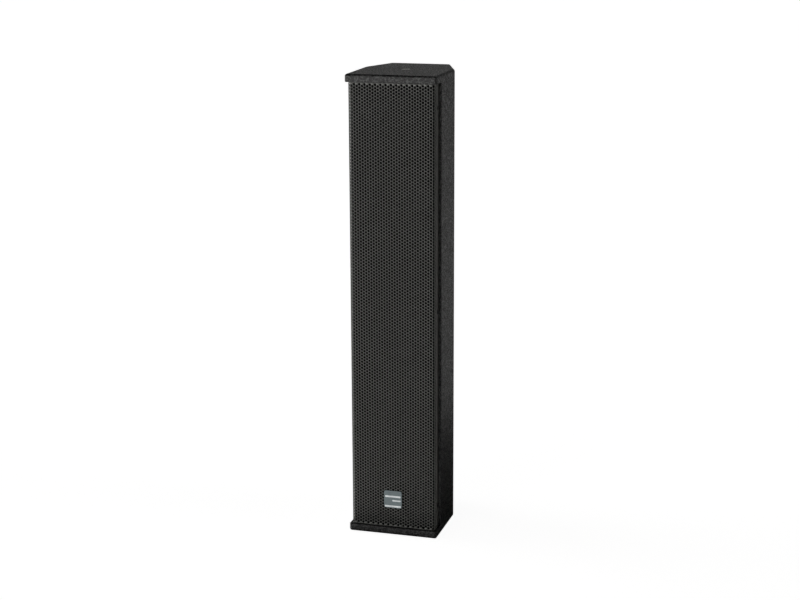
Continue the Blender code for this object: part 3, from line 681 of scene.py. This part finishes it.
def pad(low, high, edge, pull, waves, depth, back_at=None):
    """A soft slab facing -Y, crowned and rounded at its edges, that pulls in between its corners.

    waves are the periods of its lumps along x and z, and depth is how deep they go. back_at gives
    where the back face lies for each x, where it isn't flat.
    """
    step = 4 * MM
    size = high - low
    across, upward = round(size.x / step), round(size.z / step)
    flat = bmesh.new()
    sides = []
    for face in (-1, 1):
        rows = []
        for j in range(upward + 1):
            v = j / upward
            row = []
            for i in range(across + 1):
                u = i / across
                x = low.x + size.x * u + pull * math.sin(math.pi * v) * (1 - 2 * u)
                z = low.z + size.z * v + pull * math.sin(math.pi * u) * (1 - 2 * v)
                to_edge = min(u, 1 - u) * size.x, min(v, 1 - v) * size.z
                swell = 1.0
                for d in to_edge:
                    swell *= math.sqrt(1 - (1 - min(1, d / edge)) ** 2)
                lump = math.sin(2 * math.pi * x / waves[0]) * math.sin(2 * math.pi * z / waves[1])
                hollow = depth * (0.5 + 0.5 * lump) if face < 0 else 0
                half = ((back_at(x) if back_at else high.y) - low.y) / 2
                row.append(flat.verts.new((x, low.y + half + face * (half - hollow) * swell, z)))
            rows.append(row)
        sides.append(rows)
    for face, rows in zip((-1, 1), sides):
        for j in range(upward):
            for i in range(across):
                corners = [rows[j][i], rows[j][i + 1], rows[j + 1][i + 1], rows[j + 1][i]]
                flat.faces.new(corners[::-face])
    bmesh.ops.remove_doubles(flat, verts=flat.verts, dist=GAP / 10)
    mesh = bpy.data.meshes.new("pad")
    flat.to_mesh(mesh)
    flat.free()
    mesh.shade_smooth()
    return linked("pad", mesh)


def soft_pieces():
    """The acoustic foam behind the grille, and the wadding against the back panel."""
    low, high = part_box("grille_foam")
    thickness, strip = 4 * MM, 5 * MM

    def foam_back(x):
        return high.y if abs(x) > high.x - strip else low.y + thickness

    foam = pad(low, high, 2 * MM, 0, (37 * MM, 53 * MM), 0.5 * MM, foam_back)
    piece(foam, "acoustic_foam", "foam", ["grille_foam"])
    wadding = pad(*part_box("damping_pad"), 16 * MM, 2.5 * MM, (31 * MM, 43 * MM), 2.2 * MM)
    piece(wadding, "damping_wadding", "wadding", ["damping_pad"])


def badge():
    """A rounded square metal plate with plain lighter bars, and no lettering."""
    middle, (width, thick, height) = middle_and_size("badge")
    relief = 0.2 * MM
    place = Matrix.Translation((0, middle.y + thick / 2, middle.z)) @ FORWARD
    plate = softened(rectangle(width, height, 4 * MM), 0, thick - relief, 0.5 * MM)
    piece(smooth(moved(plate, place)), "badge_plate", "badge_metal", ["badge"])
    bars = (
        ("upper_bar", 0.0, 0.16, 0.86, 0.1),
        ("middle_bar", 0.2, -0.07, 0.46, 0.09),
        ("lower_bar", 0.0, -0.4, 0.9, 0.1),
    )
    for name, x, up, wide, tall in bars:
        bar = softened(rectangle(wide * width, tall * height, 0.8 * MM), 0, relief + GAP, 0.15 * MM, 2)
        moved(bar, Matrix.Translation((x * width, up * height, thick - relief - GAP)))
        piece(smooth(moved(bar, place)), f"badge_{name}", "badge_metal", finish=BADGE_TRIM)


# ------------ screws and fixings


def cross_recess(size, depth):
    """A tapering cross, for cutting a screw's recess."""
    arms = None
    for turn in (0, math.pi / 2):
        wide, slim = size, size * 0.24
        arm = loft(
            [
                ring(rectangle(wide * 0.5, slim * 0.6, slim * 0.2), 0, -depth),
                ring(rectangle(wide * 1.1, slim * 1.05, slim * 0.2), 0, depth),
            ]
        )
        moved(arm, Matrix.Rotation(turn, 4, "Z"))
        arms = arm if arms is None else carve(arms, arm, "UNION")
    return arms


def domed_screw(radius, rise, shank, length):
    """A domed cross-recess screw. Its head sits on its own z = 0."""
    profile = [(0, rise)]
    for step in range(1, 8):
        a = math.pi / 2 * step / 7
        profile.append((radius * math.sin(a) ** 0.9, rise * (0.25 + 0.75 * math.cos(a))))
    profile += [(radius, 0.1), (radius - 0.1, 0), (shank, 0), (shank, shank - length), (0, -length)]
    screw = turned(profile, SMALL_STEPS)
    recess = moved(cross_recess(radius * MM, 0.8 * MM), Matrix.Translation((0, 0, rise * MM)))
    return carve(screw, recess)


def grille_screws():
    shape = domed_screw(4, 1.6, SCREW_SHANK / MM, 9)
    for name in SCREWS:
        low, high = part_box(name)
        side = math.copysign(1, low.x)
        centre = (side * (GRILLE_HIGH.x + GAP), (low.y + high.y) / 2, (low.z + high.z) / 2)
        turn = Matrix.Rotation(side * math.pi / 2, 4, "Y") @ Matrix.Rotation(0.4 + low.z, 4, "Z")
        screw = copied(shape, Matrix.Translation(centre) @ turn)
        piece(smooth(screw), f"domed_{name}", "painted_steel", [name])
    bpy.data.objects.remove(shape)


def threaded(obj, bore, pitch, depth):
    """Turns the straight inside wall of that radius into a screw thread."""
    for vertex in obj.data.vertices:
        x, y, z = vertex.co
        radius = math.hypot(x, y)
        if radius < bore + depth / 2 and radius > 0:
            phase = (z / pitch - math.atan2(y, x) / (2 * math.pi)) % 1
            grown = radius + depth * (1 - abs(2 * phase - 1))
            vertex.co.x *= grown / radius
            vertex.co.y *= grown / radius
    return obj


def rigging_insert():
    """Zinc plated threaded insert with a recessed thread, in a black collar sunk into the top."""
    low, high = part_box("top_rigging_insert")
    flange, length = high.x / MM, (high.z - low.z) / MM
    recess, lip, step, bore, pitch = 6.4, 8.3, 3, 4.4, 1.5
    place = Matrix.Translation((0, FIXING_Y, HEIGHT))
    outside = [(lip - 0.4, 0), (lip, -0.4), (lip, -2), (9, -2.4), (9, -length)]
    rows = int((length - step - 1) / (pitch / 6))
    inside = [(bore + 0.8, -length)]
    inside += [(bore, -length + 0.5 + i * pitch / 6) for i in range(rows)]
    inside += [(bore + 1.1, -step), (recess, -step), (recess, -0.5), (recess + 0.5, 0)]
    insert = threaded(turned(outside + inside), bore * MM, pitch * MM, 0.75 * MM)
    piece(smooth(moved(insert, place), 50), "threaded_insert", "zinc", ["top_rigging_insert"])
    collar = turned([(flange, -0.5), (flange, -2), (lip + 0.1, -2), (lip + 0.1, -1), (lip + 0.4, -0.7)])
    piece(smooth(moved(collar, place)), "insert_collar", "zinc", finish=FINISHES["painted_steel"])


def pole_socket():
    """Steel pole cup with a flange, set flush in the bottom panel and held by four screws."""
    low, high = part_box("pole_socket")
    flange, depth = high.x / MM, (high.z - low.z) / MM
    outside = [(0, depth), (18.5, depth), (20.5, depth - 2), (20.5, 4.2), (21.7, 3), (flange, 3)]
    inside = [(flange, 0.5), (flange - 0.5, 0), (20.6, 0), (19, 0.7), (18.25, 2.4), (18.25, depth - 3.5)]
    socket = turned([*outside, *inside, (17.2, depth - 2.5), (0, depth - 2.5)])
    place = Matrix.Translation((0, FIXING_Y, 0))
    screws = []
    for quarter in range(4):
        spot = on_circle(31 * MM, quarter)
        sink = turned([(0, 5), (2.2, 5), (2.2, 2.4), (4.3, 0), (4.3, -1), (0, -1)], SMALL_STEPS)
        carve(socket, moved(sink, spot))
        screws.append(place @ spot)
    piece(smooth(moved(socket, place)), "pole_cup", "painted_steel", ["pole_socket"])
    for i, spot in enumerate(screws, 1):
        head = turned([(0, 2.4), (1.9, 2.4), (4, 0.15), (3.9, 0.05), (0, 0.05)], SMALL_STEPS)
        carve(head, cross_recess(4 * MM, 1.2 * MM))
        piece(smooth(moved(head, spot)), f"pole_cup_screw_{i}", "painted_steel", finish=FINISHES["zinc"])


SOCKET_BODY = 13  # radius behind the flange, in millimetres


def connector_plate():
    """Steel plate with rounded edges, a hole for each socket, and a screw in each corner."""
    middle, (width, thick, height) = middle_and_size("connector_plate")
    place = Matrix.Translation((0, middle.y - thick / 2, middle.z)) @ BACKWARD
    plate = moved(softened(rectangle(width, height, 5 * MM), 0, thick, 0.6 * MM), place)
    for number in (1, 2):
        radius = SOCKET_BODY + GAP / MM
        spot = (0, middle.y, middle_and_size(f"speaker_socket_{number}")[0].z)
        carve(plate, moved(rod(radius, -9, 9), Matrix.Translation(spot) @ BACKWARD))
    piece(smooth(plate), "steel_connector_plate", "painted_steel", ["connector_plate"])
    inset = 5.5 * MM
    for i, (x, z) in enumerate(PLATE_CORNERS, 1):
        screw = domed_screw(3.2, 1.6, 1.5, 5)
        spot = (x * (width / 2 - inset), middle.y + thick / 2, middle.z + z * (height / 2 - inset))
        moved(screw, Matrix.Translation(spot) @ BACKWARD @ Matrix.Rotation(0.6 * i, 4, "Z"))
        piece(smooth(screw), f"plate_screw_{i}", "painted_steel")


def speaker_sockets():
    """Round locking sockets: a square flange, a ring-shaped well with key slots, and four contacts."""
    for number in (1, 2):
        name = f"speaker_socket_{number}"
        middle, (side, deep, _) = middle_and_size(name)
        flange = 3 * MM
        place = Matrix.Translation((0, middle.y + deep / 2 - flange, middle.z)) @ BACKWARD
        well, core, floor, rivet_at = 11, 4.6, -12, 11.9 * MM
        length, wall = (deep - flange) / MM, SOCKET_BODY
        shell = softened(rectangle(side, side, 5 * MM), 0, flange, 0.7 * MM)
        body = [(0, 1), (wall, 1), (wall, 1 - length), (wall - 0.6, -length), (0, -length)]
        carve(shell, turned(body), "UNION")
        carve(shell, turned([(well + 0.6, 3.6), (well, 2.6), (well, floor), (core, floor), (core, 3.6)]))
        nose = [(core + 1, 9), (core + 1, 0.2), (core - 0.5, 0.2), (core - 0.9, 0)]
        carve(shell, turned([(0, 9), *nose, (0, 0)]))
        for quarter, wide in enumerate((5, 2.6, 5, 2.6)):
            half = wide / 2 * MM
            slot = block(((well - 2) * MM, -half, floor * MM), ((well + 1) * MM, half, 6 * MM))
            carve(shell, moved(slot, Matrix.Rotation(math.pi / 2 * quarter, 4, "Z")))
        for x in (-1, 1):
            hole = rod(1.9, -1, 5, SMALL_STEPS)
            carve(shell, moved(hole, Matrix.Translation((x * rivet_at, x * rivet_at, 0))))
        piece(smooth(moved(shell, place)), f"locking_socket_{number}", "black_plastic", [name])
        for quarter in range(4):
            a = math.pi / 4 + quarter * math.pi / 2
            blade = softened(rectangle(0.8 * MM, 3 * MM, 0.3 * MM), floor * MM, -2 * MM, 0.2 * MM, 2)
            spin = Matrix.Rotation(a, 4, "Z") @ Matrix.Translation(((core + 0.4) * MM, 0, 0))
            moved(blade, place @ spin)
            piece(smooth(blade), f"socket_{number}_contact_{quarter + 1}", "black_plastic", finish=BRASS)
        for x in (-1, 1):
            rivet = moved(domed_screw(2.9, 1.1, 1.5, 5), Matrix.Translation((0, 0, flange)))
            moved(rivet, place @ Matrix.Translation((x * rivet_at, x * rivet_at, -1.2 * MM)))
            piece(smooth(rivet), f"socket_{number}_screw_{1 if x < 0 else 2}", "painted_steel")


# ------------ drivers


BAFFLE_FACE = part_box("front_baffle")[0].y
DRIVER_SCREW = (3, 1.4, 1.5, 7)  # head's radius and rise, shank's radius and length, in millimetres


def on_baffle(node):
    """Own z axis forward from the baffle's front face, at the height of a CAD node."""
    return Matrix.Translation((0, BAFFLE_FACE, middle_and_size(node)[0].z)) @ FORWARD


def bow(start, end, bulge, steps=10):
    """Points of a shallow arc between two (radius, height) points, its end left out.

    A positive bulge swells away from the material of a profile that runs down its outer side.
    """
    across, up = end[0] - start[0], end[1] - start[1]
    length = math.hypot(across, up)
    points = []
    for i in range(steps):
        t = i / steps
        side = 4 * bulge * t * (1 - t) / length
        points.append((start[0] + across * t - up * side, start[1] + up * t + across * side))
    return points


def eased(profile, radius, steps=3):
    """The profile with its sharp corners off the axis rounded."""
    points = [Vector(p) for p in profile]
    rounded = []
    for i, corner in enumerate(points):
        before, after = points[i - 1], points[(i + 1) % len(points)]
        if corner.x == 0 or (before - corner).angle(corner - after) < math.radians(25):
            rounded.append(corner)
            continue
        reach = min(radius, 0.4 * (before - corner).length, 0.4 * (after - corner).length)
        start = corner + (before - corner).normalized() * reach
        end = corner + (after - corner).normalized() * reach
        for step in range(steps + 1):
            t = step / steps
            rounded.append(start * (1 - t) ** 2 + corner * 2 * t * (1 - t) + end * t**2)
    return [tuple(p) for p in rounded]


def basket():
    """Pressed steel frame: a flange, a tapering wall with four rounded windows, and the motor's seat."""
    outer = [(68, 0), (68, -4), (58, -4), (57.5, -12), (41.5, -42), (19, -42)]
    inner = [(19, -40), (39, -40), (55.3, -11.5), (55.3, -2), (62, -2), (62, 0)]
    frame_shape = turned(eased(outer + inner, 1.2), FINE_STEPS)
    for i in range(4):
        window = loft([ring(rectangle(16 * MM, 30 * MM, 5 * MM), 0, r * MM) for r in (30, 70)])
        turn = Matrix.Rotation(math.pi / 2 * (i + 0.5), 4, "Z") @ Matrix.Rotation(math.pi / 2, 4, "Y")
        carve(frame_shape, moved(window, Matrix.Translation((0, 0, -22 * MM)) @ turn))
    return frame_shape


def cone():
    """Curved paper cone with its dust cap and its voice coil former."""
    front = [*bow((0, -19), (17, -26.5), 2.0), *bow((17, -26.5), (52, -4), 1.2, 14), (52, -4), (52, -5.2)]
    back = [*bow((51.6, -5.4), (14.4, -29.4), -1.2, 14), (14.4, -29.4), (14.4, -52), (13.4, -52)]
    return turned([*front, *back, *bow((13.4, -26), (0, -20.6), -1.2), (0, -20.6)], FINE_STEPS)


def surround():
    """Half roll of rubber from the cone's rim to the flange."""
    under = [(61.6, -0.7), (61.6, -1.7), *bow((56.6, -1.7), (52.4, -3.6), -3.0), (52.4, -4.6)]
    top = [(50, -4.9), (50, -3.7), *bow((51.2, -3.4), (57.2, -0.7), 4.8)]
    return turned([*under, *top, (57.2, -0.7)], FINE_STEPS)


def spider():
    """Corrugated cloth disc that centres the former."""
    inner, outer, waves, thick, seat = 14.9, 39.8, 6, 0.6, -36.2
    count = waves * 8
    top = []
    for i in range(count + 1):
        t = i / count
        fade = min(1, 8 * t, 8 * (1 - t))
        top.append((inner + (outer - inner) * t, seat + 1.1 * fade * math.sin(2 * math.pi * waves * t)))
    below = [(r, h - thick) for r, h in reversed(top)]
    return turned([top[-1], *below, *top[:-1]], FINE_STEPS)


def front_plate():
    return turned(eased([(39, -42.4), (39, -48), (15.4, -48), (15.4, -42.4)], 0.6))


def magnet():
    return turned(eased([(42, -48.2), (42, -63.8), (18, -63.8), (18, -48.2)], 1.2))


def yoke():
    """Back plate and pole in one, with the vent's dimple at the back."""
    pole = [(0, -42.3), (12, -42.3), (12, -60), (14, -64), (40, -64), (40, -69), (37, -72)]
    return turned(eased([*pole, (9, -72), (6, -69), (0, -69)], 1.0))


def woofers():
    """Four woofers in five-inch baskets, with their screws. Each cone rides on its own body."""
    shapes = (  # kind, shape, slot, and the end of its CAD node's name if it has one
        ("basket", basket(), "painted_steel", "basket"),
        ("front_plate", front_plate(), "painted_steel", ""),
        ("magnet", magnet(), "ferrite", "motor"),
        ("yoke", yoke(), "painted_steel", ""),
        ("cone", cone(), "cone_paper", "cone"),
        ("surround", surround(), "surround_rubber", "surround"),
        ("spider", spider(), "spider_cloth", "spider"),
    )
    screw = domed_screw(*DRIVER_SCREW)
    for number in (1, 2, 3, 4):
        place = on_baffle(f"woofer_{number}_basket")
        for kind, shape, slot, node in shapes:
            replaces = [f"woofer_{number}_{node}"] if node else []
            body = f"cone_{number}" if kind == "cone" else ROOT
            piece(smooth(copied(shape, place), 40), f"driver_{number}_{kind}", slot, replaces, body)
        for quarter in range(4):
            spin = Matrix.Rotation(number + quarter, 4, "Z")
            head = copied(screw, place @ on_circle(64.8 * MM, quarter) @ spin)
            piece(smooth(head), f"driver_{number}_screw_{quarter + 1}", "painted_steel")
    for _, shape, _, _ in shapes:
        bpy.data.objects.remove(shape)
    bpy.data.objects.remove(screw)


def horn():
    """Round waveguide with a square flange, a smooth flare and a screw in each corner."""
    side = middle_and_size("horn")[1].x
    mouth, throat, length, wall, steps = 58.0, 12.7, 52.0, 2.5, 18
    flare = []
    for i in range(steps + 1):
        t = i / steps
        flare.append((throat + (mouth - throat) * (1 - t) ** 1.7, -length * t))
    place = on_baffle("horn")
    flange = softened(rectangle(side, side, 8 * MM), -3 * MM, 0, 0.8 * MM)
    skin = [(r + wall, h) for r, h in flare[2:-3]]
    bell = turned([(0, -1), (mouth + wall, -1), *skin, (26, -46), (26, -length), (0, -length)], FINE_STEPS)
    carve(flange, bell, "UNION")
    carve(flange, turned([(0, 2), (mouth, 2), *flare, (throat, -length - 2), (0, -length - 2)], FINE_STEPS))
    piece(smooth(moved(flange, place)), "waveguide", "black_plastic", ["horn"])
    inset = side / 2 - 7.5 * MM
    for i, (x, z) in enumerate(PLATE_CORNERS, 1):
        spot = Matrix.Translation((x * inset, z * inset, 0)) @ Matrix.Rotation(0.7 * i, 4, "Z")
        screw = moved(domed_screw(*DRIVER_SCREW), place @ spot)
        piece(smooth(screw), f"waveguide_screw_{i}", "painted_steel")


def compression_driver():
    """Magnet between its plates, the moving dome and the rear cover, behind the waveguide."""
    place = on_baffle("tweeter_motor")
    core = [(38, -52.3), (38, -57), (21.6, -57), (21.6, -79), (12.7, -77), (12.7, -52.3)]
    back = [(38, -72.4), (38, -80), (25.2, -80), (25.2, -72.4)]
    disc = [(40, -57.2), (40, -72.2), (26, -72.2), (26, -57.2)]
    cover = [(0, -94), (37, -94), (37, -80.3), (40, -80.3), (40, -96), (38, -98), (0, -98)]
    for name, profile, slot, replaces in (
        ("tweeter_core", core, "painted_steel", []),
        ("tweeter_back_plate", back, "painted_steel", []),
        ("tweeter_magnet", disc, "ferrite", ["tweeter_motor"]),
        ("tweeter_cover", cover, "black_plastic", ["tweeter_rear_cover"]),
    ):
        piece(smooth(moved(turned(eased(profile, 1.0), FINE_STEPS), place)), name, slot, replaces)
    inside = [*bow((0, -86.4), (22.4, -80.7), -1.3), (22.4, -80.7), (22.4, -74), (23.6, -74), (23.6, -80.8)]
    outside = [(33, -80.8), (33, -81.5), *bow((23, -81.5), (0, -87.2), 1.3), (0, -87.2)]
    dome = moved(turned(inside + outside, FINE_STEPS), place)
    piece(smooth(dome), "moving_diaphragm", "titanium", ["tweeter_diaphragm"], "tweeter_dome")


def ports():
    """Two short reflex ports with rounded mouths."""
    outer = [(36, -0.6), (36, -3), (27, -3), (27, -42), (25.8, -42)]
    inner = [*bow((25, -41), (25, -9), 0, 2), *bow((25, -9), (32, 0), 2.2), (32, 0), (35.4, 0)]
    shape = turned(outer + inner, FINE_STEPS)
    for name in ("lower_port", "upper_port"):
        piece(smooth(copied(shape, on_baffle(name)), 50), f"reflex_{name}", "black_plastic", [name])
    bpy.data.objects.remove(shape)


# ------------ crossover


def coils():
    """Air-cored coils: the side shows one bump for each turn of wire."""
    for name in ("low_pass_coil", "high_pass_coil"):
        middle, size = middle_and_size(name)
        radius, height = size.x / 2 / MM, size.y / MM
        hub, wire = radius * 0.42, 1.25
        turns = round(height / wire)
        side = []
        for i in range(turns):
            top, bottom = height * (1 - i / turns), height * (1 - (i + 1) / turns)
            side += bow((radius - 0.35, top), (radius - 0.35, bottom), 0.35, 4)
        coil = turned([*side, (radius - 0.35, 0), (hub, 0), (hub, height)])
        centre = (middle.x, middle.y + size.y / 2, middle.z)
        moved(coil, Matrix.Translation(centre) @ FORWARD)
        piece(smooth(coil, 60), f"wound_{name}", "copper", [name])


def capacitors():
    """Film capacitors with a dimpled resin end each way."""
    for name in ("low_pass_capacitor", "high_pass_capacitor"):
        middle, size = middle_and_size(name)
        radius, half = size.x / 2 / MM, size.z / 2 / MM
        end = [(0, half - 0.8), (radius - 1.6, half - 0.8), (radius - 1.2, half), (radius, half)]
        profile = [*end, *((r, -h) for r, h in reversed(end))]
        can = moved(turned(eased(profile, 0.8)), Matrix.Translation(middle))
        piece(smooth(can, 50), f"film_{name}", "capacitor_film", [name])


def board_and_resistor():
    """The filter's board with rounded corners, and its cement resistor."""
    for name, made, slot, corner, edge in (
        ("crossover_board", "filter_board", "board_laminate", 2 * MM, 0.2 * MM),
        ("tweeter_resistor", "cement_resistor", "ceramic", 1 * MM, 0.8 * MM),
    ):
        middle, size = middle_and_size(name)
        plate = softened(rectangle(size.x, size.z, corner), 0, size.y, edge)
        moved(plate, Matrix.Translation((middle.x, middle.y + size.y / 2, middle.z)) @ FORWARD)
        piece(smooth(plate), made, slot, [name])


# ------------ stage, light and camera


LOBES = (  # azimuth and elevation in degrees, inner and outer half angle, radiance
    (-22, -14, 8, 36, 3.35),
    (-94, -12, 12, 42, 3.1),
    (92, 4, 6, 26, 1.5),
    (160, -13, 6, 28, 0.36),
    (-164, 11, 4, 22, 0.36),
)
BASE_LIGHT = 0.02
CAMERA_AT = (0.8934253, -3.1035293, 1.2437096)
CAMERA_TURN = (0.28436409, math.pi / 2 - 0.24263556, -0.00423717)  # yaw, pitch and roll
CAMERA_LENS = 77.35756


def aim(azimuth, elevation):
    """Direction from the object: azimuth 0 is the front, 90 the right side."""
    a, e = math.radians(azimuth), math.radians(elevation)
    return (math.sin(a) * math.cos(e), -math.cos(a) * math.cos(e), math.sin(e))


def studio_light():
    """Soft panels round the object, and a plain pale surround for the camera."""
    world = bpy.data.worlds.new("studio")
    bpy.context.scene.world = world
    world.use_nodes = True
    nodes, links = world.node_tree.nodes, world.node_tree.links
    soft, pale = nodes["Background"], nodes.new("ShaderNodeBackground")
    where = nodes.new("ShaderNodeTexCoord").outputs["Generated"]
    total = nodes.new("ShaderNodeValue").outputs["Value"]
    total.default_value = BASE_LIGHT
    for azimuth, elevation, inner, outer, radiance in LOBES:
        dot = nodes.new("ShaderNodeVectorMath")
        dot.operation = "DOT_PRODUCT"
        dot.inputs[1].default_value = aim(azimuth, elevation)
        links.new(where, dot.inputs[0])
        fade = nodes.new("ShaderNodeMapRange")
        fade.interpolation_type = "SMOOTHSTEP"
        fade.inputs["From Min"].default_value = math.cos(math.radians(outer))
        fade.inputs["From Max"].default_value = math.cos(math.radians(inner))
        fade.inputs["To Max"].default_value = radiance
        links.new(dot.outputs["Value"], fade.inputs["Value"])
        add = nodes.new("ShaderNodeMath")
        links.new(fade.outputs["Result"], add.inputs[0])
        links.new(total, add.inputs[1])
        total = add.outputs["Value"]
    soft.inputs["Color"].default_value = (1, 0.995, 0.985, 1)
    links.new(total, soft.inputs["Strength"])
    pale.inputs["Color"].default_value = (1, 1, 1, 1)
    mix = nodes.new("ShaderNodeMixShader")
    links.new(nodes.new("ShaderNodeLightPath").outputs["Is Camera Ray"], mix.inputs["Fac"])
    links.new(soft.outputs["Background"], mix.inputs[1])
    links.new(pale.outputs["Background"], mix.inputs[2])
    links.new(mix.outputs["Shader"], nodes["World Output"].inputs["Surface"])


def card(name, low, high, height, material):
    """A flat rectangle on the stage, between two (x, y) corners."""
    (x0, y0), (x1, y1) = low, high
    made = object_of([(x0, y0, 0), (x1, y0, 0), (x1, y1, 0), (x0, y1, 0)], [(0, 1, 2, 3)])
    made.name = name
    made.location.z = height
    made.data.materials.append(material)
    return made


def floor():
    """A wide pale floor that neither shades nor lights the object."""
    size = 40
    plane = card("floor", (-size, -size), (size, size), -GAP, backdrop())
    plane.visible_glossy = False
    plane.visible_diffuse = False
    plane.visible_shadow = False


def flags():
    """Two black cards under the floor that keep light from below off the front's and the side's foot."""
    felt = grained("flag_felt", grey(0.0005), grey(0.001), (0.95, 1.0), 5, 0.5)
    card("front_flag", (-0.14, FRONT - 0.06), (0.1, FRONT), -2 * MM, felt)
    card("side_flag", (HALF, -0.1), (0.5, 0.65), -2 * MM, felt)


def camera():
    """The view from the front right and a little above the top, very slightly rolled."""
    lens = bpy.data.cameras.new("camera")
    lens.lens = CAMERA_LENS
    lens.clip_end = 200
    view = linked("camera", lens)
    yaw, pitch, roll = (Matrix.Rotation(angle, 4, axis) for angle, axis in zip(CAMERA_TURN, "ZXZ"))
    view.matrix_world = Matrix.Translation(CAMERA_AT) @ yaw @ pitch @ roll
    bpy.context.scene.camera = view


def finish_cad_nodes():
    """Gives every CAD node that still shows its procedural finish."""
    for obj in bpy.context.scene.objects:
        if obj.type == "MESH" and obj.name in frame["nodes"]:
            for slot in obj.material_slots:
                slot.material = FINISHES[slot.material.name.split(".")[0]]


camera()
floor()
flags()
studio_light()
bpy.context.scene.view_settings.view_transform = "Standard"

finish_cad_nodes()
end_panels()
painted_walls()
grille()
soft_pieces()
badge()
grille_screws()
rigging_insert()
pole_socket()
connector_plate()
speaker_sockets()
woofers()
horn()
compression_driver()
ports()
coils()
capacitors()
board_and_resistor()
